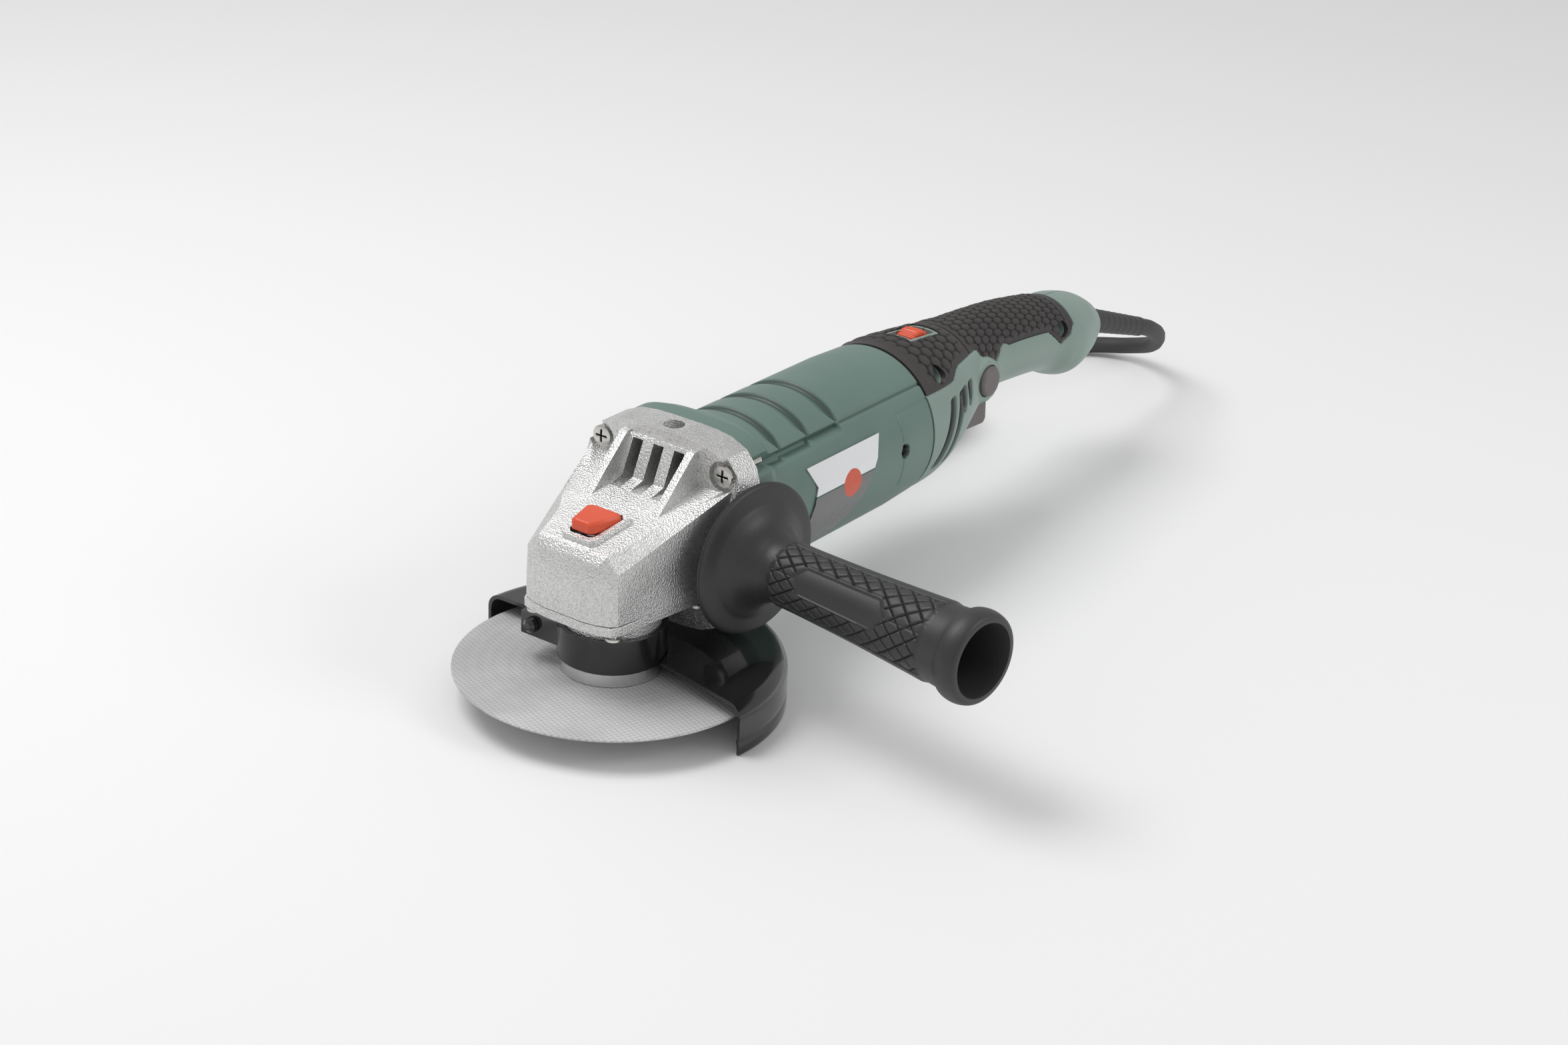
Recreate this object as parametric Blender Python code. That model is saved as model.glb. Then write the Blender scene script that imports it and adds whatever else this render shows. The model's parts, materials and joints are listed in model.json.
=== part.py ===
"""Corded angle grinder with a guard, a side handle and a mains lead.

The numbers below are millimetres, and every mesh is scaled once to metres.
Z is the spindle axis, pointing up through the gear case. The origin is the
centre of the spindle's lower end face. The motor axis runs along +Y towards
the rear handle, and the side handle points to +X.
"""

import math

import bmesh
import bpy
from mathutils import Matrix, Vector

MM = 0.001
GAP = 0.3  # clearance between touching pieces

# Wheel, spindle and the stack along the spindle axis
DISC_RADIUS = 62.5
DISC_BOTTOM = 9.5
DISC_TOP = 10.5
SPINDLE_THREAD_RADIUS = 7.0
FLANGE_RADIUS = 20.4
FLANGE_TOP = 16.2
NUT_BOTTOM = 1.0
NECK_RADIUS = 19.5
BAND_RADIUS = 21.7
BAND_BOTTOM = 16.6
BAND_TOP = 30.5
COVER_BOTTOM = 39.0
CASE_BOTTOM = 43.3
SPINDLE_TOP = 70.0

# Wheel guard
GUARD_RADIUS = 69.0
GUARD_PLATE_TOP = 17.8
GUARD_SHEET = 1.6
GUARD_BOTTOM = -3.0
GUARD_BEND = 6.0
GUARD_TURN = math.radians(-5)

# Motor axis and gear case
AXIS_Z = 61.0
CASE_REAR = 43.5
CASE_FLANGE_FRONT = 28.0
CASE_HALF_WIDTH = 38.0
CASE_HALF_HEIGHT = 40.0
SQUARENESS = 4.0  # exponent of the rounded square outline
DECK_FRONT_Y = -24.5
DECK_FRONT_Z = 70.2
DECK_SLOPE = 0.25
SCREW_X = 30.0
SCREW_RISE = 29.0

# Spindle lock button
BUTTON_Y = -12.0
BUTTON_FRONT = -20.0
BUTTON_REAR = -4.0
BUTTON_BOTTOM = 74.2
BUTTON_TOP = 78.9

# Bevel gears share the apex where the spindle and motor axes cross
GEAR_TEETH = 25
PINION_TEETH = 8
CONE_OUTER = 21.0
CONE_INNER = 15.2

# Motor
BARREL_RADIUS = 34.6
BARREL_BORE = 31.2
BARREL_END = 169.5
STATOR_RADIUS = 30.8
CORE_RADIUS = 17.4
CORE_FRONT = 70.0
CORE_REAR = 115.0
SHAFT_RADIUS = 4.0
BRUSH_Y = 143.0

# Side handle, leaning a little forwards
HANDLE_BASE = Vector((40.0, 35.8, 56.5))
HANDLE_LEAN = math.radians(-6.9)
HANDLE_LENGTH = 117.6
HANDLE_FLANGE_RADIUS = 30.6
STUD_RADIUS = 4.0

# Rear handle: station along Y, centre height, radius
TAIL_STATIONS = (
    (169.8, 61.0, 33.2),
    (185, 61.2, 32.6),
    (200, 62.9, 29.5),
    (215, 66.0, 25.0),
    (230, 69.0, 20.6),
    (245, 70.3, 18.4),
    (268, 68.5, 17.9),
    (291, 65.0, 17.5),
    (303, 61.2, 18.9),
    (312, 59.6, 19.4),
    (324, 59.2, 16.4),
    (333, 58.4, 12.6),
    (339, 57.2, 9.6),
    (342, 56.2, 7.6),
)
GRIP_THICKNESS = 1.9
GRIP_EDGE = math.radians(35)
GRIP_STATIONS = 9  # the cover ends after this many stations
SHELL_WALL = 2.6
HANDLE_SCREWS = ((184.0, 83.5), (294.0, 70.5))
LOCK_ON_PLACE = (0, 224.0, 68.5)
DIAL_PLACE = (0, 197.4, 86.0)
DIAL_RADIUS = 8.2
TRIGGER_PIVOT = (0, 206.0, 44.5)

# Mains lead
CORD_RADIUS = 4.0
CORD_ROUTE = (
    (0, 390, 40),
    (-1, 404, 34.5),
    (-6, 421, 25),
    (-17, 436, 13),
    (-35, 444, 5),
    (-54, 438, 2),
    (-69, 418, 1.4),
    (-77, 390, 1.4),
    (-80, 360, 1.4),
    (-80, 330.4, 1.4),
)
HANK_X = (-116.0, -44.0)
HANK_Y = (150.0, 330.0)
HANK_HEIGHT = 24.0
PLUG_X = -48.0  # in line with the last run of the hank
PLUG_Y = 103.6

# The exact solver leaves open edges where the lock-on boss crosses this shell
MANIFOLD_OBJECTS = ("handle_shell_right", "handle_shell_left")

MATERIALS = {
    "cast_aluminium": ((0.56, 0.56, 0.55), 0.55, 1.0),
    "green_plastic": ((0.15, 0.225, 0.19), 0.45, 0.0),
    "green_plastic_tail": ((0.19, 0.28, 0.235), 0.45, 0.0),
    "grip_rubber": ((0.045, 0.042, 0.043), 0.8, 0.0),
    "handle_plastic": ((0.06, 0.06, 0.06), 0.6, 0.0),
    "black_steel": ((0.012, 0.012, 0.012), 0.25, 0.0),
    "bright_steel": ((0.62, 0.62, 0.62), 0.25, 1.0),
    "zinc_steel": ((0.55, 0.54, 0.51), 0.35, 1.0),
    "orange_plastic": ((0.66, 0.09, 0.035), 0.4, 0.0),
    "grey_plastic": ((0.16, 0.145, 0.145), 0.5, 0.0),
    "abrasive": ((0.5, 0.5, 0.5), 0.85, 0.0),
    "label_film": ((0.75, 0.76, 0.77), 0.35, 0.0),
    "copper": ((0.55, 0.22, 0.1), 0.35, 1.0),
    "winding_varnish": ((0.3, 0.09, 0.04), 0.4, 0.0),
    "electrical_steel": ((0.25, 0.25, 0.26), 0.5, 1.0),
    "black_plastic": ((0.02, 0.02, 0.02), 0.45, 0.0),
    "carbon": ((0.03, 0.03, 0.03), 0.6, 0.0),
    "board_resin": ((0.02, 0.12, 0.04), 0.5, 0.0),
    "cord_rubber": ((0.04, 0.04, 0.04), 0.65, 0.0),
    "nickel": ((0.7, 0.68, 0.62), 0.25, 1.0),
}


# ---------------------------------------------------------------- helpers


def material(name):
    """The named Principled material, made the first time it is asked for."""
    found = bpy.data.materials.get(name)
    if found:
        return found
    colour, roughness, metallic = MATERIALS[name]
    made = bpy.data.materials.new(name)
    made.use_nodes = True
    shader = made.node_tree.nodes["Principled BSDF"]
    shader.inputs["Base Color"].default_value = (*colour, 1)
    shader.inputs["Roughness"].default_value = roughness
    shader.inputs["Metallic"].default_value = metallic
    return made


def add_object(name, points, faces, finish, origin=(0, 0, 0)):
    """A mesh object from points in millimetres, with its origin moved to a joint's axis."""
    origin = Vector(origin)
    mesh = bpy.data.meshes.new(name)
    mesh.from_pydata([(Vector(p) - origin) * MM for p in points], [], faces)
    work = bmesh.new()
    work.from_mesh(mesh)
    bmesh.ops.remove_doubles(work, verts=work.verts, dist=1e-7)
    bmesh.ops.recalc_face_normals(work, faces=work.faces)
    work.to_mesh(mesh)
    work.free()
    mesh.materials.append(material(finish))
    mesh.shade_smooth()
    mesh.set_sharp_from_angle(angle=math.radians(35))
    made = bpy.data.objects.new(name, mesh)
    made.location = origin * MM
    bpy.context.scene.collection.objects.link(made)
    return made


def loft(name, loops, finish, closed=False, origin=(0, 0, 0)):
    """A skin over equal loops of points. Its ends are capped, or joined when closed."""
    count = len(loops[0])
    points = [p for loop in loops for p in loop]
    faces = []
    for i in range(len(loops) if closed else len(loops) - 1):
        here = i * count
        there = (i + 1) % len(loops) * count
        for j in range(count):
            k = (j + 1) % count
            faces.append((here + j, here + k, there + k, there + j))
    if not closed:
        faces.append(tuple(range(count)))
        faces.append(tuple(range((len(loops) - 1) * count, len(loops) * count)))
    return add_object(name, points, faces, finish, origin)


def turned(name, profile, finish, steps=32, axis="Z", centre=(0, 0, 0), origin=None):
    """A closed profile of (radius, height) turned about an axis through the centre."""
    centre = Vector(centre)
    loops = []
    for i in range(steps):
        angle = 2 * math.pi * i / steps
        loops.append([centre + along(axis, r * math.cos(angle), r * math.sin(angle), h) for r, h in profile])
    return loft(name, loops, finish, closed=True, origin=centre if origin is None else origin)


def along(axis, a, b, h):
    """The point with height h on the axis and a and b across it."""
    if axis == "X":
        return Vector((h, a, b))
    if axis == "Y":
        return Vector((b, h, a))
    return Vector((a, b, h))


def rod(name, radius, low, high, finish, steps=24, axis="Z", centre=(0, 0, 0), origin=None):
    """A cylinder between two heights along an axis."""
    return stepped_rod(name, ((radius, low), (radius, high)), finish, steps, axis, centre, origin)


def stepped_rod(name, profile, finish, steps=24, axis="Z", centre=(0, 0, 0), origin=None):
    """A solid of revolution whose profile runs from one end face to the other."""
    centre = Vector(centre)
    loops = []
    for r, h in profile:
        ring = [2 * math.pi * i / steps for i in range(steps)]
        loops.append([centre + along(axis, r * math.cos(t), r * math.sin(t), h) for t in ring])
    return loft(name, loops, finish, origin=centre if origin is None else origin)


def prism(name, outline, low, high, finish, axis="Z", origin=(0, 0, 0)):
    """An outline of points across an axis, extruded between two heights."""
    loops = [[along(axis, a, b, h) for a, b in outline] for h in (low, high)]
    return loft(name, loops, finish, origin=origin)


def block(name, x, y, z, finish, origin=(0, 0, 0)):
    """A box given by its range on each axis."""
    outline = ((x[0], y[0]), (x[1], y[0]), (x[1], y[1]), (x[0], y[1]))
    return prism(name, outline, z[0], z[1], finish, origin=origin)


def boolean(target, tool, operation):
    """Cut a tool from the target or join it on, and hide the tool."""
    step = target.modifiers.new(operation.lower(), "BOOLEAN")
    step.operation = operation
    step.solver = "MANIFOLD" if target.name in MANIFOLD_OBJECTS else "EXACT"
    step.object = tool
    tool.hide_render = True
    tool.display_type = "WIRE"


def cut(target, *tools):
    for tool in tools:
        boolean(target, tool, "DIFFERENCE")


def join(target, *tools):
    for tool in tools:
        boolean(target, tool, "UNION")


def lerp(a, b, t):
    return a + (b - a) * t


def oval(half_width, half_height, power, count, y, centre_z=AXIS_Z):
    """A superellipse across the Y axis: power 2 is an ellipse, 4 a rounded square."""
    loop = []
    for i in range(count):
        t = 2 * math.pi * i / count
        c = abs(math.cos(t)) / half_width
        s = abs(math.sin(t)) / half_height
        r = (c**power + s**power) ** (-1 / power)
        loop.append((r * math.cos(t), y, centre_z + r * math.sin(t)))
    return loop


def deck_height(y):
    """The height of the gear case's sloping top."""
    return DECK_FRONT_Z + DECK_SLOPE * (y - DECK_FRONT_Y)


# -------------------------------------------------------------- gear case


def nose_section(y, bottom, shoulder, shoulder_z, deck, deck_z):
    """Half of the gear case's section from the parting plane up, mirrored."""
    right = [
        (bottom, CASE_BOTTOM),
        (bottom, lerp(CASE_BOTTOM, shoulder_z, 0.5)),
        (shoulder, shoulder_z),
        (deck, deck_z),
        (deck * 0.5, deck_z),
    ]
    return [(x, y, z) for x, z in right] + [(-x, y, z) for x, z in reversed(right)]


def make_nose():
    rounded_front = ((-30, 9, 54, 6, 58), (-29, 15.5, 58, 12, 62.5), (-27, 20.5, 61, 15, 67))
    loops = [nose_section(y, w, w - 0.5, sz, d, dz) for y, w, sz, d, dz in rounded_front]
    for y in (-24.5, -20, -8, 4, 16, CASE_FLANGE_FRONT + 2):
        back = (y - DECK_FRONT_Y) / (CASE_FLANGE_FRONT - DECK_FRONT_Y)
        bottom = lerp(22.8, 31, back)
        shoulder = lerp(22.3, 35, back)
        shoulder_z = lerp(64, 85.5, back)
        deck = lerp(16.5, 29, back)
        loops.append(nose_section(y, bottom, shoulder, shoulder_z, deck, deck_height(y)))
    return loft("gear_case", loops, "cast_aluminium")


def make_gear_case():
    case = make_nose()
    front, rear = CASE_FLANGE_FRONT, CASE_REAR
    size = (CASE_HALF_WIDTH, CASE_HALF_HEIGHT, SQUARENESS, 36)
    flange = loft("case_flange", [oval(*size, front), oval(*size, rear)], "cast_aluminium")
    # Side views: a prism along X takes (y, z) pairs
    slope = ((14, 72), (19, 78.5), (27.2, 96.5), (31, 96.5), (31, 72))
    wedge = prism("slope_wedge", slope, -15.5, 15.5, "cast_aluminium", axis="X")
    fin = ((3.5, 74), (4.5, 77.6), (25.5, 97.2), (31, 97.2), (31, 74))
    fins = []
    for i, x in enumerate((14.8, -18.2)):
        fins.append(prism(f"fin_{i}", fin, x, x + 3.4, "cast_aluminium", axis="X"))
    pad = loft("button_pad", [button_outline(2.8, -4), button_outline(2.4, 2.3)], "cast_aluminium")
    join(case, flange, wedge, *fins, pad)

    gear_room = rod("gear_room", 21.8, CASE_BOTTOM - 2, 66, "cast_aluminium", steps=28)
    pinion_room = block("pinion_room", (-11, 11), (0, 27), (50, 70), "cast_aluminium")
    bearing_seat = rod("bearing_seat", 13.3, 24, 35, "cast_aluminium", axis="Y", centre=(0, 0, AXIS_Z))
    fan_room = rod("fan_room", 30.6, 34.5, rear + 2, "cast_aluminium", 28, "Y", (0, 0, AXIS_Z))
    spindle_seat = rod("spindle_seat", 8.3, 60, 72.5, "cast_aluminium")
    well = [button_outline(0.45, -1.6, 70), button_outline(0.45, 12)]
    button_well = loft("button_well", well, "cast_aluminium")
    spring_seat = rod("spring_seat", 4.6, 67.6, 72, "cast_aluminium", centre=(0, BUTTON_Y, 0))
    pin_hole = rod("pin_hole", 2.3, 60, 70, "cast_aluminium", steps=16, centre=(0, BUTTON_Y, 0))
    cut(case, gear_room, pinion_room, bearing_seat, fan_room, spindle_seat)
    cut(case, button_well, spring_seat, pin_hole)
    for i, x in enumerate((-10.2, 0, 10.2)):
        cut(case, block(f"vent_{i}", (x - 2.5, x + 2.5), (12, 37), (79.5, 95), "cast_aluminium"))
    for i, (x, z) in enumerate(corner_places()):
        place = (x, 0, z)
        cut(case, rod(f"corner_pocket_{i}", 6.3, 18, 31.2, "cast_aluminium", 20, "Y", place))
        cut(case, rod(f"corner_hole_{i}", 2.5, 30, rear + 1, "cast_aluminium", 12, "Y", place))
    for i, (x, y) in enumerate(cover_screw_places()):
        cut(case, rod(f"cover_hole_{i}", 2.1, CASE_BOTTOM - 1, 52, "cast_aluminium", 12, centre=(x, y, 0)))
    top_hole = rod("top_hole", 4.3, 92, 104, "cast_aluminium", 20, centre=(0, HANDLE_BASE.y, 0))
    beside = (0, HANDLE_BASE.y, HANDLE_BASE.z)
    left_hole = rod("left_hole", 4.3, -41, -31.5, "cast_aluminium", 20, "X", beside)
    right_hole = rod("right_hole", 4.3, -15, 3, "cast_aluminium", 20, "X")
    place_on_handle(right_hole)
    cut(case, top_hole, left_hole, right_hole)


def corner_places():
    return [(sx * SCREW_X, AXIS_Z + sz * SCREW_RISE) for sz in (1, -1) for sx in (1, -1)]


def cover_screw_places():
    return ((19.5, -23.0), (-19.5, -23.0), (25.0, 21.0), (-25.0, 21.0))


def make_case_screws():
    """Pan heads on washers, in the corner pockets, with shanks into the motor housing."""
    profile = ((1.6, 27.6), (3.2, 28.6), (3.6, 30), (4.6, 30.1), (4.6, 30.9), (2, 30.9), (2, 51))
    for i, (x, z) in enumerate(corner_places()):
        stepped_rod(f"case_screw_{i + 1}", profile, "zinc_steel", 16, "Y", (x, 0, z))


def make_cover_screws():
    low = COVER_BOTTOM - GAP
    profile = ((1.8, low - 2.8), (3.1, low - 2), (3.3, low), (1.7, low), (1.7, 51))
    for i, (x, y) in enumerate(cover_screw_places()):
        stepped_rod(f"cover_screw_{i + 1}", profile, "zinc_steel", 16, "Z", (x, y, 0))


def make_spindle_cover():
    """The plate under the gear case, with the neck that the guard's band grips."""
    right = ((8, -30), (16, -29), (21.5, -27.2), (23.6, -23), (24.8, -10), (27.5, 12), (29.4, 27.4))
    outline = list(right) + [(-x, y) for x, y in reversed(right)]
    cover = prism("spindle_cover", outline, COVER_BOTTOM, CASE_BOTTOM - GAP, "cast_aluminium")
    neck_outline = ((NECK_RADIUS - 0.6, 17.2), (NECK_RADIUS, 18), (NECK_RADIUS, 40))
    join(cover, stepped_rod("neck", neck_outline, "cast_aluminium", 36))
    cut(cover, rod("bearing_bore", 16.4, 22, 50, "cast_aluminium", 28))
    cut(cover, rod("seal_bore", 9.4, 10, 30, "cast_aluminium", 24))
    for i, (x, y) in enumerate(cover_screw_places()):
        cut(cover, rod(f"plate_hole_{i}", 2.1, 30, 50, "cast_aluminium", 12, centre=(x, y, 0)))


# ------------------------------------------------------- spindle lock button

def button_outline(margin, rise, flat=None):
    """The button's keystone outline grown by a margin, on the deck or at a flat height."""
    front, rear = BUTTON_FRONT - margin, BUTTON_REAR + margin
    narrow, wide = 5.6 + margin, 8.6 + margin
    right = ((narrow - 1.5, front), (narrow, front + 1.5), (wide, rear - 2), (wide - 2, rear))
    outline = list(right) + [(-x, y) for x, y in reversed(right)]
    return [(x, y, deck_height(y) + rise if flat is None else flat) for x, y in outline]


def make_lock_button():
    loops = [
        button_outline(0, 0, BUTTON_BOTTOM),
        button_outline(0, 0, BUTTON_TOP - 1.2),
        button_outline(-0.9, 0, BUTTON_TOP),
    ]
    loft("lock_button", loops, "orange_plastic", origin=(0, BUTTON_Y, BUTTON_BOTTOM))
    pin = ((1.5, 57.6), (1.9, 58.2), (1.9, BUTTON_BOTTOM - GAP))
    stepped_rod("lock_pin", pin, "bright_steel", 14, "Z", (0, BUTTON_Y, 0))
    make_spring("lock_spring", (0, BUTTON_Y), 3.5, 0.4, 68.4, BUTTON_BOTTOM - 0.8, 3)


def make_spring(name, place, radius, wire, low, high, turns):
    per_turn = 8
    route = []
    for i in range(turns * per_turn + 1):
        angle = 2 * math.pi * i / per_turn
        height = lerp(low, high, i / (turns * per_turn))
        route.append((place[0] + radius * math.cos(angle), place[1] + radius * math.sin(angle), height))
    make_tube(name, route, wire, "bright_steel", 1)


def make_tube(name, route, radius, finish, resolution):
    """A round tube along a list of points."""
    curve = bpy.data.curves.new(name, "CURVE")
    curve.dimensions = "3D"
    curve.bevel_depth = radius * MM
    curve.bevel_resolution = resolution
    curve.use_fill_caps = True
    line = curve.splines.new("POLY")
    line.points.add(len(route) - 1)
    for point, place in zip(line.points, route):
        point.co = (place[0] * MM, place[1] * MM, place[2] * MM, 1)
    curve.materials.append(material(finish))
    made = bpy.data.objects.new(name, curve)
    bpy.context.scene.collection.objects.link(made)
    return made


# --------------------------------------------------------- spindle and gears


def make_spindle():
    thread = SPINDLE_THREAD_RADIUS
    profile = (
        (thread - 1, 0),
        (thread, 1),
        (thread, 16.6),
        (9, 16.6),
        (9, 21.5),
        (7.5, 21.5),
        (7.5, 54.5),
        (4.5, 55),
        (4.5, SPINDLE_TOP),
    )
    stepped_rod("spindle", profile, "bright_steel", 20)
    for name, inner, outer, low, high in (
        ("spindle_bearing", 7.9, 16, 22.3, 32.3),
        ("upper_bearing", 4.9, 8, 64.4, 70.2),
    ):
        turned(name, ((inner, low), (outer, low), (outer, high), (inner, high)), "bright_steel", 24)


def make_wheel_stack():
    turned(
        "inner_flange",
        (
            (7.4, 9.8),
            (10.8, 9.8),
            (10.8, 10.8),
            (FLANGE_RADIUS, 10.8),
            (FLANGE_RADIUS, FLANGE_TOP - 0.4),
            (FLANGE_RADIUS - 0.4, FLANGE_TOP),
            (7.4, FLANGE_TOP),
        ),
        "bright_steel",
        36,
    )
    disc = ((11.2, DISC_BOTTOM), (DISC_RADIUS, DISC_BOTTOM), (DISC_RADIUS, DISC_TOP), (11.2, DISC_TOP))
    turned("cutting_disc", disc, "abrasive", 60)
    top = DISC_BOTTOM - GAP
    nut = turned(
        "lock_nut",
        ((7.4, NUT_BOTTOM), (12, NUT_BOTTOM), (13, 3), (19.2, 3), (20, 4), (20, top), (7.4, top)),
        "black_steel",
        28,
    )
    for i in range(4):
        angle = math.pi / 2 * i
        place = (15.5 * math.cos(angle), 15.5 * math.sin(angle), 0)
        cut(nut, rod(f"nut_hole_{i}", 2.4, -1, 6.5, "black_steel", 12, centre=place))


def tooth_steps(teeth, phase):
    """Angles around a gear with 1 at a tooth's tip and 0 at its root."""
    steps = []
    pitch = 2 * math.pi / teeth
    for i in range(teeth):
        middle = phase + i * pitch
        for share, tip in ((-0.26, 0), (-0.11, 1), (0.11, 1), (0.26, 0)):
            steps.append((middle + share * pitch, tip))
    return steps


def make_gears():
    """A bevel gear on the spindle and its pinion, each tooth running to the shared apex."""
    gear_cone = math.atan2(GEAR_TEETH, PINION_TEETH)
    pinion_cone = math.pi / 2 - gear_cone
    module = 2 * CONE_OUTER * math.sin(gear_cone) / GEAR_TEETH

    def reach(cone, distance, tip):
        """Radius and axial distance from the apex of a tooth's tip or root."""
        size = module * distance / CONE_OUTER
        lift = 0.75 * size if tip else -1.0 * size
        radius = distance * math.sin(cone) + lift * math.cos(cone)
        axial = distance * math.cos(cone) - lift * math.sin(cone)
        return radius, axial

    loops = []
    for angle, tip in tooth_steps(GEAR_TEETH, math.pi / 2 + math.pi / GEAR_TEETH):
        outer_r, outer_z = reach(gear_cone, CONE_OUTER, tip)
        inner_r, inner_z = reach(gear_cone, CONE_INNER, tip)
        profile = (
            (7.9, 45),
            (17, 45),
            (20.2, 50),
            (outer_r, AXIS_Z - outer_z),
            (inner_r, AXIS_Z - inner_z),
            (14.05, 52.6),
            (7.9, 52.6),
        )
        loops.append([(r * math.cos(angle), r * math.sin(angle), z) for r, z in profile])
    loft("bevel_gear", loops, "zinc_steel", closed=True)

    loops = []
    for angle, tip in tooth_steps(PINION_TEETH, -math.pi / 2):
        outer_r, outer_y = reach(pinion_cone, CONE_OUTER, tip)
        inner_r, inner_y = reach(pinion_cone, CONE_INNER, tip)
        profile = ((2.5, 12.8), (inner_r, inner_y), (outer_r, outer_y), (5, 22), (2.5, 22))
        c, s = math.cos(angle), math.sin(angle)
        loops.append([(r * c, y, AXIS_Z + r * s) for r, y in profile])
    loft("pinion", loops, "zinc_steel", closed=True, origin=(0, 0, AXIS_Z))


# ------------------------------------------------------------------- guard


def guard_edge(radius):
    """The angle at which the guard's straight front edge crosses a radius."""
    across = 5.2 - (radius - 17.3) * 0.116
    return math.asin(across / radius)


def make_guard():
    """Sheet steel over half of the wheel: a flat plate, a bend and a skirt."""
    sheet, top, outer = GUARD_SHEET, GUARD_PLATE_TOP, GUARD_RADIUS
    bend = GUARD_BEND
    corners = [math.radians(a) for a in (90, 60, 30, 0)]
    centre_r, centre_z = outer - bend, top - bend
    outside = [(centre_r + bend * math.cos(a), centre_z + bend * math.sin(a)) for a in corners]
    small = bend - sheet
    inside = [(centre_r + small * math.cos(a), centre_z + small * math.sin(a)) for a in reversed(corners)]
    profile = [(22.0, top), *outside, (outer, GUARD_BOTTOM), (outer - sheet, GUARD_BOTTOM), *inside]
    profile.append((22.0, top - sheet))
    steps = 26
    loops = []
    for i in range(steps + 1):
        loop = []
        for r, z in profile:
            start = guard_edge(r)
            angle = lerp(start, math.pi - start, i / steps) + GUARD_TURN
            loop.append((r * math.cos(angle), r * math.sin(angle), z))
        loops.append(loop)
    loft("wheel_guard", loops, "black_steel")


def make_guard_band():
    inner, outer = NECK_RADIUS + GAP, BAND_RADIUS
    profile = ((inner, BAND_BOTTOM), (outer, BAND_BOTTOM), (outer, BAND_TOP), (inner, BAND_TOP))
    band = turned("guard_band", profile, "black_steel", 36)
    join(band, block("clamp_lug", (-32, -12), (-17, -4), (20.5, 30), "black_steel"))
    cut(band, rod("band_bore", inner, 10, 40, "black_steel", 36))
    cut(band, block("clamp_slit", (-34, -14), (-11.2, -9.8), (10, 40), "black_steel"))
    place = (-26, 0, 25.7)
    cut(band, rod("clamp_hole", 2.4, -25, 5, "black_steel", 12, "Y", place))
    screw = ((1.6, -20.4), (2.9, -19.2), (3.2, -17.3), (2.1, -17.3), (2.1, -3))
    stepped_rod("clamp_screw", screw, "black_steel", 16, "Y", place)


# ------------------------------------------------------------------- motor


def make_motor_housing():
    """A green barrel with a rounded square collar against the gear case."""
    count = 36
    outer = []
    for y, half_w, half_h, power in (
        (CASE_REAR + GAP, 37.4, 39.4, SQUARENESS),
        (52, 37.4, 39.4, SQUARENESS),
        (56, 36.8, 38.4, 3.4),
        (60, 35.6, 36.4, 2.6),
        (65, BARREL_RADIUS + 0.2, BARREL_RADIUS + 0.4, 2.1),
        (72, BARREL_RADIUS, BARREL_RADIUS, 2),
        (110, BARREL_RADIUS, BARREL_RADIUS, 2),
        (150, BARREL_RADIUS - 0.3, BARREL_RADIUS - 0.3, 2),
        (BARREL_END - 1.5, BARREL_RADIUS - 1.2, BARREL_RADIUS - 1.2, 2),
        (BARREL_END, BARREL_RADIUS - 2, BARREL_RADIUS - 2, 2),
    ):
        outer.append(oval(half_w, half_h, power, count, y))
    inside = ((BARREL_END, 29.6), (164, 29.6), (160, BARREL_BORE), (CASE_REAR + GAP, BARREL_BORE))
    bore = [oval(r, r, 2, count, y) for y, r in inside]
    housing = loft("motor_housing", outer + bore, "green_plastic", closed=True)
    for i, (x, z) in enumerate(corner_places()):
        cut(housing, rod(f"housing_hole_{i}", 2.4, 40, 52.5, "green_plastic", 12, "Y", (x, 0, z)))
    for side in (1, -1):
        low, high = sorted((side * 28, side * 40))
        place = (0, 147, 63.5)
        cut(housing, rod(f"brush_screw_hole_{side}", 2.6, low, high, "green_plastic", 14, "X", place))


def make_label():
    """A thin curved plate on the right of the barrel, narrower towards the bottom."""
    inner, outer = BARREL_RADIUS + GAP, BARREL_RADIUS + 0.8
    edges = ((26, 81, 130), (11, 85.5, 126), (0, 83, 122), (-12, 80, 117), (-24, 78, 110), (-33, 78, 100))
    loops = []
    for angle, front, rear in edges:
        c, s = math.cos(math.radians(angle)), math.sin(math.radians(angle))
        corners = ((inner, front), (outer, front), (outer, rear), (inner, rear))
        loops.append([(r * c, y, AXIS_Z + r * s) for r, y in corners])
    loft("label_plate", loops, "label_film")


def ring_part(name, inner, outer, low, high, finish, steps=32):
    """A plain ring about the motor axis."""
    profile = ((inner, low), (outer, low), (outer, high), (inner, high))
    return turned(name, profile, finish, steps, "Y", (0, 0, AXIS_Z))


def make_armature():
    bore = SHAFT_RADIUS + GAP
    shaft = ((2, 12.5), (2.2, 12.7), (2.2, 22.5), (SHAFT_RADIUS, 22.5), (SHAFT_RADIUS, 164))
    stepped_rod("armature_shaft", shaft, "bright_steel", 20, "Y", (0, 0, AXIS_Z))
    ring_part("armature_core", bore, CORE_RADIUS, CORE_FRONT, CORE_REAR, "electrical_steel", 28)
    for name, near, far in (("winding_front", CORE_FRONT - GAP, 58), ("winding_rear", CORE_REAR + GAP, 127)):
        out = 1 if far > near else -1
        profile = [(bore + 0.4, near), (15.6, near), (15.6, far - 4 * out), (13, far), (bore + 0.4, far)]
        turned(name, profile, "winding_varnish", 24, "Y", (0, 0, AXIS_Z))
    ring_part("commutator", bore, 11, 135, 151, "copper", 24)
    make_fan()


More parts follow.
